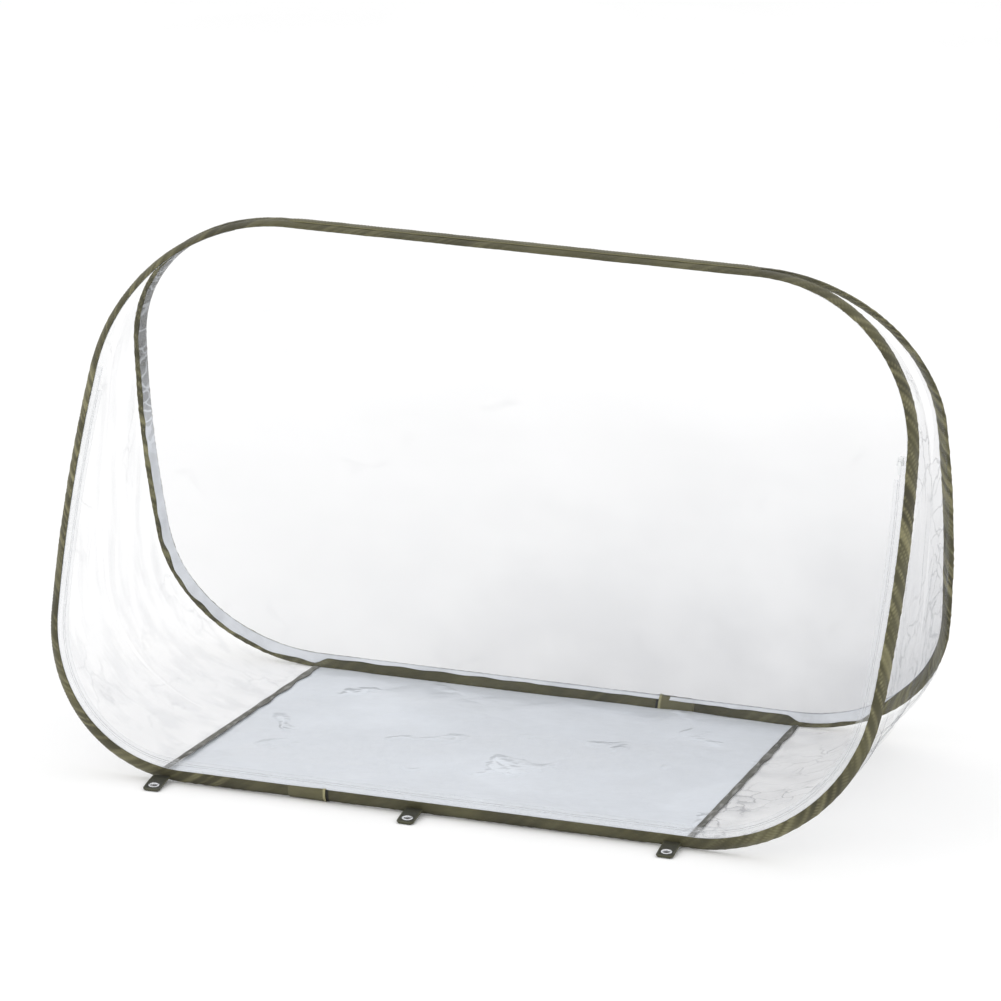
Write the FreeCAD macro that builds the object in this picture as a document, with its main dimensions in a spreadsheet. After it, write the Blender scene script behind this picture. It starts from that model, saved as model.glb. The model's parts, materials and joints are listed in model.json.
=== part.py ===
import FreeCAD, Part
import math
import os

import Sketcher
from FreeCAD import Placement, Rotation, Vector

# A small pop-up greenhouse: two spring hoops, sewn together along the ridge, stand apart at
# the foot and hold clear film panels, two end walls and a floor sheet between them.
# Millimetres, +Z up. The origin is on the ground, under the middle of the ridge. The front
# hoop stands at -Y. Each hoop is drawn flat, with X along its foot, Y up its face and Z
# outwards, and is then leaned over. The rear hoop is the front one turned half a turn.

SIZES = {
    # hoop centre line
    "hoop_width": 987,
    "hoop_rise": 655,
    "widest_rise": 322,
    "low_corner_radius": 187,
    "side_radius": 1989,
    "top_corner_radius": 206,
    "hoop_lean": 22.9,
    "ridge_offset": 9.1,
    "ground_gap": 8.2,
    # fabric sleeve round the hoop: a flattened oval, tilted out of the hoop's plane
    "sleeve_width": 18,
    "sleeve_thick": 6,
    "sleeve_wall": 0.8,
    "sleeve_tilt": 36.87,
    "lap_length": 45,
    "lap_start": 130,
    "lap_wall": 0.9,
    "lap_gap": 0.1,
    # flat spring-steel wire and the tube crimped over its two ends
    "wire_width": 7,
    "wire_thick": 1.2,
    "crimp_length": 30,
    "crimp_wall": 0.8,
    "crimp_gap": 0.1,
    # clear film
    "film_thick": 0.4,
    "film_level": 4.4,
    "film_inset": 7.9,
    "end_film_outset": 4.8,
    "end_film_back": 8.1,
    "end_film_top": 648,
    # floor sheet and the tapes over its two seams
    "seam_reach": 303,
    "floor_half_depth": 258.3,
    "floor_level": 0.26,
    "seam_width": 14,
    "seam_thick": 0.8,
    "seam_gap": 0.35,
    "seam_half_depth": 256.8,
    "join_gap": 0.15,
    # door zip
    "door_rise": 436,
    "door_gap": 0.5,
    "zip_top": 463,
    "zip_tape_width": 4.8,
    "zip_tape_thick": 0.8,
    "zip_tape_level": 4.2,
    "zip_gap": 1.2,
    "slider_width": 8.5,
    "slider_length": 10,
    "slider_wing": 1,
    "slider_clear": 0.3,
    "slider_post": 0.6,
    "slider_rise": 457,
    "bail_wall": 0.8,
    "bail_pin": 0.6,
    "bail_height": 1.6,
    "cheek_width": 3,
    "cheek_height": 2.8,
    "cheek_sink": 0.1,
    "pull_width": 3.4,
    "pull_length": 17,
    "pull_thick": 0.9,
    "pull_eye": 1.2,
    "pull_gap": 0.2,
    "pin_gap": 0.08,
    # ridge tape
    "ridge_tape_width": 17,
    "ridge_tape_thick": 0.9,
    "ridge_tape_rise": 4.8,
    # ground tabs and their eyelets
    "tab_spread": 303,
    "tab_shift": 24,
    "tab_width": 20,
    "tab_length": 40,
    "tab_thick": 1.6,
    "tab_slope": 7.5,
    "tab_root_out": 4.2,
    "tab_root_height": 7,
    "tab_corner": 3,
    "eyelet_inset": 12,
    "eyelet_flange": 7,
    "eyelet_flange_thick": 0.5,
    "eyelet_barrel": 4.4,
    "eyelet_bore": 3.75,
    "eyelet_fit": 0.1,
    # how far a cutting or trimming solid reaches past what it works on
    "tool_spare": 40,
    "through_spare": 2,
}

doc = FreeCAD.newDocument("popup_greenhouse")
sheet = doc.addObject("Spreadsheet::Sheet", "sizes")
for row, (name, number) in enumerate(SIZES.items(), start=1):
    sheet.set(f"A{row}", name)
    sheet.set(f"B{row}", str(number))
    sheet.setAlias(f"B{row}", name)
doc.recompute()

FRONT = "front"
REAR = "rear"
X_AXIS = Vector(1, 0, 0)
Z_AXIS = Vector(0, 0, 1)
ORIGIN = (-1, 1)
Y_LINE = -2


def size(name):
    """A driving dimension, read back from the sheet."""
    return float(sheet.get(name))


def hoop_frame(side):
    """Where a hoop's flat drawing stands in the part: foot on the ground, top at the ridge."""
    lean = math.radians(size("hoop_lean"))
    foot = size("hoop_rise") * math.sin(lean) + size("ridge_offset")
    upright = Rotation(X_AXIS, 90 - size("hoop_lean"))
    stand = Placement(Vector(0, -foot, size("ground_gap")), upright)
    turn = Placement(Vector(), Rotation(Z_AXIS, 180 if side == REAR else 0))
    return turn.multiply(stand)


def section_frame(side):
    """The hoop frame turned so that its Z lies along the sleeve's flattened oval."""
    tilt = Placement(Vector(), Rotation(X_AXIS, -size("sleeve_tilt")))
    return hoop_frame(side).multiply(tilt)


def new_body(name):
    body = doc.addObject("PartDesign::Body", name)
    body.Label = name
    return body


def new_sketch(body, role, name, level=None):
    """A sketch on one of the body's own origin planes, lifted by a sheet expression."""
    plane = next(f for f in body.Origin.OriginFeatures if f.Role == role)
    sketch = body.newObject("Sketcher::SketchObject", name)
    sketch.AttachmentSupport = [(plane, "")]
    sketch.MapMode = "FlatFace"
    if level:
        sketch.setExpression("AttachmentOffset.Base.z", level)
    return sketch


def tie(sketch, kind, *places, number, to):
    """Add a dimension to the sketch and bind it to a sheet expression."""
    index = sketch.addConstraint(Sketcher.Constraint(kind, *places, number))
    sketch.setExpression(f"Constraints[{index}]", to)


def pad(body, sketch, length, name):
    feature = body.newObject("PartDesign::Pad", name)
    feature.Profile = sketch
    feature.setExpression("Length", length)
    body.Tip = feature
    return feature


def arc(x, y, radius, start, end):
    return Part.ArcOfCircle(Part.Circle(Vector(x, y, 0), Z_AXIS, radius), start, end)


def line(x0, y0, x1, y1):
    return Part.LineSegment(Vector(x0, y0, 0), Vector(x1, y1, 0))


def outline_places():
    """Where the hoop outline's arcs are centred, and the angles at which they meet."""
    middle_x = size("hoop_width") / 2 - size("side_radius")
    middle_y = size("widest_rise")
    low_y = size("low_corner_radius")
    high_y = size("hoop_rise") - size("top_corner_radius")
    to_low = size("side_radius") - size("low_corner_radius")
    to_high = size("side_radius") - size("top_corner_radius")
    low_x = middle_x + math.sqrt(to_low**2 - (low_y - middle_y) ** 2)
    high_x = middle_x + math.sqrt(to_high**2 - (high_y - middle_y) ** 2)
    low_turn = math.atan2(low_y - middle_y, low_x - middle_x)
    high_turn = math.atan2(high_y - middle_y, high_x - middle_x)
    return {
        "middle": (middle_x, middle_y),
        "low": (low_x, low_y),
        "high": (high_x, high_y),
        "low_turn": low_turn,
        "high_turn": high_turn,
    }


def draw_outline(sketch, inset_name=None):
    """Draw the closed hoop outline, moved inwards by a sheet value.

    It runs from the middle of the foot: straight, low corner, long side arc, top corner,
    straight ridge, and back down the other side.
    """
    at = outline_places()
    inset = size(inset_name) if inset_name else 0
    less = f" - sizes.{inset_name}" if inset_name else ""
    top = size("hoop_rise") - inset
    quarter = math.pi / 2
    (mid_x, mid_y), (low_x, low_y), (high_x, high_y) = at["middle"], at["low"], at["high"]
    low_r = size("low_corner_radius") - inset
    side_r = size("side_radius") - inset
    high_r = size("top_corner_radius") - inset
    first = sketch.GeometryCount
    shapes = [
        line(0, inset, low_x, inset),
        arc(low_x, low_y, low_r, -quarter, at["low_turn"]),
        arc(mid_x, mid_y, side_r, at["low_turn"], at["high_turn"]),
        arc(high_x, high_y, high_r, at["high_turn"], quarter),
        line(high_x, top, -high_x, top),
        arc(-high_x, high_y, high_r, quarter, math.pi - at["high_turn"]),
        arc(-mid_x, mid_y, side_r, math.pi - at["high_turn"], math.pi - at["low_turn"]),
        arc(-low_x, low_y, low_r, math.pi - at["low_turn"], 3 * quarter),
        line(-low_x, inset, 0, inset),
    ]
    sketch.addGeometry(shapes, False)
    foot, low, side, high, ridge, high_back, side_back, low_back, foot_back = range(first, first + 9)
    for one in range(foot, foot_back):
        sketch.addConstraint(Sketcher.Constraint("Tangent", one, 2, one + 1, 1))
    sketch.addConstraint(Sketcher.Constraint("Coincident", foot_back, 2, foot, 1))
    for flat in (foot, foot_back, ridge):
        sketch.addConstraint(Sketcher.Constraint("Horizontal", flat))
    sketch.addConstraint(Sketcher.Constraint("PointOnObject", foot, 1, Y_LINE))
    across = size("side_radius") - size("hoop_width") / 2
    to_across = "sizes.side_radius - sizes.hoop_width / 2"
    tie(sketch, "DistanceX", side, 3, *ORIGIN, number=across, to=to_across)
    tie(sketch, "DistanceX", *ORIGIN, side_back, 3, number=across, to=to_across)
    for one in (side, side_back):
        tie(sketch, "DistanceY", *ORIGIN, one, 3, number=mid_y, to="sizes.widest_rise")
        tie(sketch, "Radius", one, number=side_r, to="sizes.side_radius" + less)
    for one in (low, low_back):
        tie(sketch, "Radius", one, number=low_r, to="sizes.low_corner_radius" + less)
    for one in (high, high_back):
        tie(sketch, "Radius", one, number=high_r, to="sizes.top_corner_radius" + less)
    tie(sketch, "DistanceY", foot, 1, side, 3, number=mid_y - inset, to="sizes.widest_rise" + less)
    to_top = "sizes.hoop_rise - sizes.widest_rise" + less
    tie(sketch, "DistanceY", side, 3, ridge, 1, number=top - mid_y, to=to_top)


def draw_oval(sketch, less_name=None):
    """Draw the sleeve's flattened oval, or its inner face, in the sleeve's tilt."""
    less = size(less_name) if less_name else 0
    to_radius = "sizes.sleeve_thick / 2" + (f" - sizes.{less_name}" if less_name else "")
    radius = size("sleeve_thick") / 2 - less
    reach = (size("sleeve_width") - size("sleeve_thick")) / 2
    tilt = math.radians(size("sleeve_tilt"))
    along = Vector(math.sin(tilt), math.cos(tilt), 0)
    across = Vector(along.y, -along.x, 0) * radius
    end, start = along * reach, along * -reach
    turn = math.atan2(across.y, across.x)
    first = sketch.GeometryCount
    shapes = [
        Part.LineSegment(start + across, end + across),
        arc(end.x, end.y, radius, turn, turn + math.pi),
        Part.LineSegment(end - across, start - across),
        arc(start.x, start.y, radius, turn + math.pi, turn + 2 * math.pi),
    ]
    sketch.addGeometry(shapes, False)
    edge, far_end, back, near_end = range(first, first + 4)
    for one, other in ((edge, far_end), (far_end, back), (back, near_end), (near_end, edge)):
        sketch.addConstraint(Sketcher.Constraint("Tangent", one, 2, other, 1))
    sketch.addConstraint(Sketcher.Constraint("Equal", far_end, near_end))
    sketch.addConstraint(Sketcher.Constraint("Symmetric", far_end, 3, near_end, 3, *ORIGIN))
    tie(sketch, "Radius", far_end, number=radius, to=to_radius)
    to_spread = "sizes.sleeve_width - sizes.sleeve_thick"
    tie(sketch, "Distance", far_end, 3, near_end, 3, number=2 * reach, to=to_spread)
    angle = math.pi / 2 - tilt
    tie(sketch, "Angle", edge, number=angle, to="90 deg - sizes.sleeve_tilt * 1 deg")


def check_volume(name, shape, expected, slack=0.01):
    """Stop when a swept or cut piece isn't the size that its section and length give."""
    if abs(shape.Volume - expected) > slack * expected:
        raise ValueError(f"{name}: volume {shape.Volume:.0f}, expected {expected:.0f}")


def hoop_length():
    """The length of the hoop's centre line."""
    at = outline_places()
    straights = 2 * at["low"][0] + 2 * at["high"][0]
    low = size("low_corner_radius") * (math.pi / 2 + at["low_turn"])
    side = size("side_radius") * (at["high_turn"] - at["low_turn"])
    high = size("top_corner_radius") * (math.pi / 2 - at["high_turn"])
    return straights + 2 * (low + side + high)


def oval_area(thick):
    spread = size("sleeve_width") - size("sleeve_thick")
    return spread * thick + math.pi * thick**2 / 4


def sweep(body, section, path, name, kind="Additive"):
    pipe = body.newObject(f"PartDesign::{kind}Pipe", name)
    pipe.Profile = section
    pipe.Spine = (path, [""])
    body.Tip = pipe
    return pipe


def binding(side):
    """The fabric sleeve that the hoop runs in, hollow, all the way round."""
    body = new_body(f"{side}_binding")
    path = new_sketch(body, "XY_Plane", f"{side}_binding_path")
    draw_outline(path)
    section = new_sketch(body, "YZ_Plane", f"{side}_binding_section")
    draw_oval(section)
    sweep(body, section, path, f"{side}_binding_sweep")
    channel = new_sketch(body, "YZ_Plane", f"{side}_binding_channel")
    draw_oval(channel, "sleeve_wall")
    sweep(body, channel, path, f"{side}_binding_hollow", "Subtractive")
    body.Placement = hoop_frame(side)
    doc.recompute()
    thick = size("sleeve_thick")
    area = oval_area(thick) - oval_area(thick - 2 * size("sleeve_wall"))
    check_volume(body.Label, body.Shape, area * hoop_length())
    return body


def hoop_wire(side):
    """The flat spring-steel wire: one closed hoop inside the sleeve."""
    body = new_body(f"{side}_hoop_wire")
    path = new_sketch(body, "XY_Plane", f"{side}_wire_path")
    draw_outline(path)
    section = new_sketch(body, "YZ_Plane", f"{side}_wire_section")
    tilt = math.radians(size("sleeve_tilt"))
    along = Vector(math.sin(tilt), math.cos(tilt), 0) * (size("wire_width") / 2)
    across = Vector(math.cos(tilt), -math.sin(tilt), 0) * (size("wire_thick") / 2)
    corners = [across - along, across + along, along - across, -across - along]
    edges = [Part.LineSegment(a, b) for a, b in zip(corners, corners[1:] + corners[:1])]
    section.addGeometry(edges, False)
    for one in range(4):
        section.addConstraint(Sketcher.Constraint("Coincident", one, 2, (one + 1) % 4, 1))
    section.addConstraint(Sketcher.Constraint("Perpendicular", 0, 1))
    section.addConstraint(Sketcher.Constraint("Perpendicular", 1, 2))
    section.addConstraint(Sketcher.Constraint("Perpendicular", 2, 3))
    section.addConstraint(Sketcher.Constraint("Symmetric", 0, 1, 2, 1, *ORIGIN))
    angle = "90 deg - sizes.sleeve_tilt * 1 deg"
    tie(section, "Angle", 0, number=math.pi / 2 - tilt, to=angle)
    tie(section, "Distance", 0, 1, 0, 2, number=size("wire_width"), to="sizes.wire_width")
    tie(section, "Distance", 1, 1, 1, 2, number=size("wire_thick"), to="sizes.wire_thick")
    sweep(body, section, path, f"{side}_wire_sweep")
    body.Placement = hoop_frame(side)
    doc.recompute()
    area = size("wire_width") * size("wire_thick")
    check_volume(body.Label, body.Shape, area * hoop_length())
    return body


def wire_crimp(side):
    """The flat steel tube crimped over the wire's two ends, in the middle of the foot."""
    outer = doc.addObject("Part::Box", f"{side}_crimp_outer")
    inner = doc.addObject("Part::Box", f"{side}_crimp_inner")
    for box, extra in ((outer, "sizes.crimp_gap + sizes.crimp_wall"), (inner, "sizes.crimp_gap")):
        spare = "" if box is outer else " + sizes.through_spare"
        box.setExpression("Length", "sizes.crimp_length" + spare)
        box.setExpression("Width", f"sizes.wire_thick + 2 * ({extra})")
        box.setExpression("Height", f"sizes.wire_width + 2 * ({extra})")
        box.setExpression("Placement.Base.x", f"-{box.Name}.Length / 2")
        box.setExpression("Placement.Base.y", f"-{box.Name}.Width / 2")
        box.setExpression("Placement.Base.z", f"-{box.Name}.Height / 2")
    crimp = doc.addObject("Part::Cut", f"{side}_wire_crimp")
    crimp.Base = outer
    crimp.Tool = inner
    crimp.Label = f"{side}_wire_crimp"
    crimp.Placement = section_frame(side)
    return crimp


def binding_lap(side):
    """The sleeve's free end, folded over its start and sewn: a U round the upper edge."""
    body = new_body(f"{side}_binding_lap")
    section = new_sketch(body, "YZ_Plane", f"{side}_lap_section")
    section.setExpression("AttachmentOffset.Base.z", "-(sizes.lap_start + sizes.lap_length)")
    inner = size("sleeve_thick") / 2 + size("lap_gap")
    outer = inner + size("lap_wall")
    reach = (size("sleeve_width") - size("sleeve_thick")) / 2
    shapes = [
        line(outer, -reach, outer, reach),
        arc(0, reach, outer, 0, math.pi),
        line(-outer, reach, -outer, -reach),
        line(-outer, -reach, -inner, -reach),
        line(-inner, -reach, -inner, reach),
        arc(0, reach, inner, 0, math.pi),
        line(inner, reach, inner, -reach),
        line(inner, -reach, outer, -reach),
    ]
    section.addGeometry(shapes, False)
    links = (("Tangent", 0, 2, 1, 1), ("Tangent", 1, 2, 2, 1), ("Coincident", 2, 2, 3, 1))
    links += (("Coincident", 3, 2, 4, 1), ("Tangent", 4, 2, 5, 2), ("Tangent", 5, 1, 6, 1))
    links += (("Coincident", 6, 2, 7, 1), ("Coincident", 7, 2, 0, 1))
    for kind, *places in links:
        section.addConstraint(Sketcher.Constraint(kind, *places))
    section.addConstraint(Sketcher.Constraint("Vertical", 0))
    section.addConstraint(Sketcher.Constraint("Horizontal", 3))
    section.addConstraint(Sketcher.Constraint("Horizontal", 7))
    section.addConstraint(Sketcher.Constraint("Coincident", 1, 3, 5, 3))
    section.addConstraint(Sketcher.Constraint("PointOnObject", 1, 3, Y_LINE))
    to_inner = "sizes.sleeve_thick / 2 + sizes.lap_gap"
    to_reach = "(sizes.sleeve_width - sizes.sleeve_thick) / 2"
    tie(section, "Radius", 5, number=inner, to=to_inner)
    tie(section, "Radius", 1, number=outer, to=to_inner + " + sizes.lap_wall")
    tie(section, "DistanceY", *ORIGIN, 1, 3, number=reach, to=to_reach)
    tie(section, "DistanceY", 0, 1, *ORIGIN, number=reach, to=to_reach)
    tie(section, "DistanceY", 2, 2, *ORIGIN, number=reach, to=to_reach)
    pad(body, section, "sizes.lap_length", f"{side}_lap_fold")
    body.Placement = section_frame(side)
    return body


def plate(name, inset_name, level, thick, inner_name=None):
    """A flat piece in the hoop's plane: the outline moved inwards, or the band between two."""
    body = new_body(name)
    sketch = new_sketch(body, "XY_Plane", f"{name}_outline", level)
    draw_outline(sketch, inset_name)
    if inner_name:
        draw_outline(sketch, inner_name)
    pad(body, sketch, thick, f"{name}_pad")
    return body


def keep_between(name, blank, low, high):
    """Keep the part of a flat piece whose rise is between two sheet expressions."""
    blank.Label = f"{name}_blank"
    window = doc.addObject("Part::Box", f"{name}_window")
    window.setExpression("Length", "sizes.hoop_width + sizes.tool_spare")
    window.setExpression("Width", f"({high}) - ({low})")
    window.setExpression("Height", "sizes.tool_spare")
    window.setExpression("Placement.Base.x", f"-{window.Name}.Length / 2")
    window.setExpression("Placement.Base.y", low)
    window.setExpression("Placement.Base.z", "-sizes.tool_spare / 2")
    kept = doc.addObject("Part::Common", name)
    kept.Base = blank
    kept.Tool = window
    kept.Label = name
    kept.Placement = hoop_frame(FRONT)
    return kept


def front_film():
    """The upper part of the front film, narrower where the zip runs up beside it."""
    level, thick = "sizes.film_level", "sizes.film_thick"
    crown_blank = plate("front_film_crown_sheet", "film_inset", level, thick)
    skirt_blank = plate("front_film_skirt_sheet", "door_film_inset", level, thick)
    above_zip = "sizes.zip_top + sizes.join_gap"
    above_door = "sizes.door_rise + sizes.door_gap"
    crown = keep_between("front_film_crown", crown_blank, above_zip, "sizes.hoop_rise")
    skirt = keep_between("front_film_skirt", skirt_blank, above_door, above_zip)
    film = doc.addObject("Part::MultiFuse", "front_film")
    film.Shapes = [crown, skirt]
    film.Refine = True
    film.Label = "front_film"
    return film


def add_inset(name, number, to):
    """Keep a worked-out inset in the sheet, where the outlines can follow it."""
    row = len(SIZES) + 1
    SIZES[name] = number
    sheet.set(f"A{row}", name)
    sheet.set(f"B{row}", to)
    sheet.setAlias(f"B{row}", name)
    doc.recompute()


def worked_insets():
    """The lines, inwards from the hoop, at which the end walls, zip tapes and door film lie."""
    frame_end = "=film_inset + zip_tape_width"
    door_start = "=film_inset + zip_tape_width + zip_gap"
    door_end = "=film_inset + 2 * zip_tape_width + zip_gap"
    film_edge = "=film_inset + 2 * zip_tape_width + zip_gap + slider_clear"
    for name, to in (
        ("end_film_inner", "=-end_film_outset"),
        ("end_film_outer", "=-end_film_outset - film_thick"),
        ("zip_frame_end", frame_end),
        ("zip_door_start", door_start),
        ("zip_door_end", door_end),
        ("door_film_inset", film_edge),
    ):
        add_inset(name, 0, to)


def door_film():
    """The lower part of the front film: the door, which lifts outwards."""
    blank = plate("door_film_sheet", "door_film_inset", "sizes.film_level", "sizes.film_thick")
    return keep_between("door_film", blank, "0", "sizes.door_rise - sizes.door_gap")


def zip_tape(name, outer_name, inner_name, top):
    """One side of the zip: up one side, along the foot and up the other side."""
    level, thick = "sizes.zip_tape_level", "sizes.zip_tape_thick"
    blank = plate(f"{name}_band", outer_name, level, thick, inner_name)
    return keep_between(name, blank, "0", top)


def rear_film():
    body = plate("rear_film", "film_inset", "sizes.film_level", "sizes.film_thick")
    body.Placement = hoop_frame(REAR)
    return body


def slider_frame():
    """On the zip's middle line, high on the right side, with Y up along the zip."""
    at = outline_places()
    mid_x, mid_y = at["middle"]
    inset = size("film_inset") + size("zip_tape_width") + size("zip_gap") / 2
    radius = size("side_radius") - inset
    rise = size("slider_rise") - mid_y
    turn = math.asin(rise / radius)
    level = size("zip_tape_level") + size("zip_tape_thick") / 2
    place = Vector(mid_x + radius * math.cos(turn), size("slider_rise"), level)
    local = Placement(place, Rotation(Z_AXIS, math.degrees(turn)))
    return hoop_frame(FRONT).multiply(local)


def centred_box(name, length, width, height, x="0", y="0", z="0"):
    """A box given by its three sizes and the place of its middle."""
    box = doc.addObject("Part::Box", name)
    box.setExpression("Length", length)
    box.setExpression("Width", width)
    box.setExpression("Height", height)
    box.setExpression("Placement.Base.x", f"{x} - ({length}) / 2")
    box.setExpression("Placement.Base.y", f"{y} - ({width}) / 2")
    box.setExpression("Placement.Base.z", f"{z} - ({height}) / 2")
    return box


def cross_rod(name, radius, length, y, z):
    """A rod along X, given by its middle."""
    rod = doc.addObject("Part::Cylinder", name)
    rod.setExpression("Radius", radius)
    rod.setExpression("Height", length)
    rod.Placement = Placement(Vector(), Rotation(Vector(0, 1, 0), 90))
    rod.setExpression("Placement.Base.x", f"-({length}) / 2")
    rod.setExpression("Placement.Base.y", y)
    rod.setExpression("Placement.Base.z", z)
    return rod


WING_FACE = "sizes.zip_tape_thick / 2 + sizes.slider_clear"
WING_TOP = f"{WING_FACE} + sizes.slider_wing"
BAIL_LEVEL = f"{WING_TOP} + sizes.bail_height"


def zip_slider():
    """Two wings, one each side of the tapes, the post between them and the pull's bail."""
    wing = ("sizes.slider_width", "sizes.slider_length", "sizes.slider_wing")
    middle = f"({WING_FACE} + sizes.slider_wing / 2)"
    front_wing = centred_box("slider_front_wing", *wing, z=middle)
    rear_wing = centred_box("slider_rear_wing", *wing, z=f"-{middle}")
    post_deep = f"2 * ({WING_TOP})"
    post = centred_box("slider_post", "sizes.slider_post", "sizes.slider_length / 3", post_deep)
    cheek = ("sizes.bail_wall", "sizes.cheek_width", "sizes.cheek_height")
    out = "(sizes.pull_width / 2 + sizes.pull_gap + sizes.bail_wall / 2)"
    level = f"{WING_TOP} + sizes.cheek_height / 2 - sizes.cheek_sink"
    left = centred_box("slider_left_cheek", *cheek, x=f"-{out}", z=level)
    right = centred_box("slider_right_cheek", *cheek, x=out, z=level)
    span = "sizes.pull_width + 2 * sizes.pull_gap + 2 * sizes.bail_wall"
    pin = cross_rod("slider_pin", "sizes.bail_pin", span, "0", BAIL_LEVEL)
    slider = doc.addObject("Part::MultiFuse", "zip_slider")
    slider.Shapes = [front_wing, rear_wing, post, left, right, pin]
    slider.Label = "zip_slider"
    slider.Placement = slider_frame()
    return slider


def zip_pull():
    """The flat pull, with the eye by which it turns on the slider's pin."""
    eye = cross_rod("pull_eye", "sizes.pull_eye", "sizes.pull_width", "0", BAIL_LEVEL)
    middle = "-sizes.pull_length / 2"
    blade_size = ("sizes.pull_width", "sizes.pull_length", "sizes.pull_thick")
    blade = centred_box("pull_blade", *blade_size, y=middle, z=BAIL_LEVEL)
    solid = doc.addObject("Part::MultiFuse", "pull_solid")
    solid.Shapes = [eye, blade]
    reach = "sizes.pull_width + sizes.through_spare"
    hole = cross_rod("pull_hole", "sizes.bail_pin + sizes.pin_gap", reach, "0", BAIL_LEVEL)
    pull = doc.addObject("Part::Cut", "zip_pull")
    pull.Base = solid
    pull.Tool = hole
    pull.Label = "zip_pull"
    pull.Placement = slider_frame()
    return pull


def end_film(name, half_turn):
    """An end wall: from the floor seam round the low corner, up the side and to the ridge.

    Its line is the hoop's outline a little outside the centre line. It is drawn straight
    across from hoop to hoop and trimmed where it meets the sleeves.
    """
    strip = doc.addObject("Sketcher::SketchObject", f"{name}_line")
    draw_outline(strip, "end_film_inner")
    draw_outline(strip, "end_film_outer")
    back = Placement(Vector(0, 0, -size("end_film_back")), Rotation())
    aside = Placement(Vector(0, -size("tool_spare"), 0), Rotation())
    strip.Placement = aside.multiply(hoop_frame(FRONT)).multiply(back)
    wall = doc.addObject("Part::Extrusion", f"{name}_wall")
    wall.Base = strip
    wall.DirMode = "Custom"
    wall.Dir = Vector(0, 1, 0)
    wall.LengthFwd = 2 * (size("floor_half_depth") + size("tool_spare"))
    wall.Solid = True
    film = doc.addObject("Part::Common", name)
    film.Base = wall
    film.Tool = tent_space(name)
    film.Label = name
    film.Placement = Placement(Vector(), Rotation(Z_AXIS, half_turn))
    return film


def tent_space(name):
    """The space between the two hoops' sleeves, from the ground to just below the ridge."""
    corners = []
    for rise in (-size("tool_spare") / 2, size("end_film_top")):
        corners.append(hoop_frame(FRONT).multVec(Vector(0, rise, -size("end_film_back"))))
    low, high = corners
    points = [low, high, Vector(0, -high.y, high.z), Vector(0, -low.y, low.z), low]
    profile = doc.addObject("Part::Feature", f"{name}_space_profile")
    profile.Shape = Part.Face(Part.makePolygon(points))
    space = doc.addObject("Part::Extrusion", f"{name}_space")
    space.Base = profile
    space.DirMode = "Custom"
    space.Dir = X_AXIS
    space.setExpression("LengthFwd", "sizes.hoop_width / 2 + sizes.tool_spare - sizes.seam_reach")
    space.setExpression("Placement.Base.x", "sizes.seam_reach + sizes.join_gap")
    space.Solid = True
    return space


def floor_sheet():
    floor = centred_box(
        "floor_sheet",
        "2 * sizes.seam_reach - 2 * sizes.join_gap",
        "2 * sizes.floor_half_depth",
        "sizes.film_thick",
        z="sizes.floor_level + sizes.film_thick / 2",
    )
    floor.Label = "floor_sheet"
    return floor


def floor_seam(name, side):
    """The tape sewn over the join of the floor sheet and an end wall."""
    tape = centred_box(
        name,
        "sizes.seam_width",
        "2 * sizes.seam_half_depth",
        "sizes.seam_thick",
        x=f"({side} * sizes.seam_reach)",
        z="sizes.floor_level + sizes.film_thick + sizes.seam_gap + sizes.seam_thick / 2",
    )
    tape.Label = name
    return tape


def ridge_tape():
    """The tape over the ridge that joins the two sleeves and lets them fold together."""
    lean = math.radians(size("hoop_lean"))
    ridge = size("ground_gap") + size("hoop_rise") * math.cos(lean)
    tape = centred_box(
        "ridge_tape",
        str(2 * outline_places()["high"][0]),
        "sizes.ridge_tape_width",
        "sizes.ridge_tape_thick",
        z=f"{ridge} + sizes.ridge_tape_rise + sizes.ridge_tape_thick / 2",
    )
    tape.Label = "ridge_tape"
    return tape


def tab_frame(side, x):
    """The root of a ground tab, under the sleeve, with Y back along the tab."""
    foot = -hoop_frame(FRONT).Base.y
    root = Vector(x, -foot - size("tab_root_out"), size("tab_root_height"))
    local = Placement(root, Rotation(X_AXIS, size("tab_slope")))
    if side == REAR:
        turn = Placement(Vector(), Rotation(Z_AXIS, 180))
        root = Vector(-x, root.y, root.z)
        return turn.multiply(Placement(root, local.Rotation))
    return local


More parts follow.
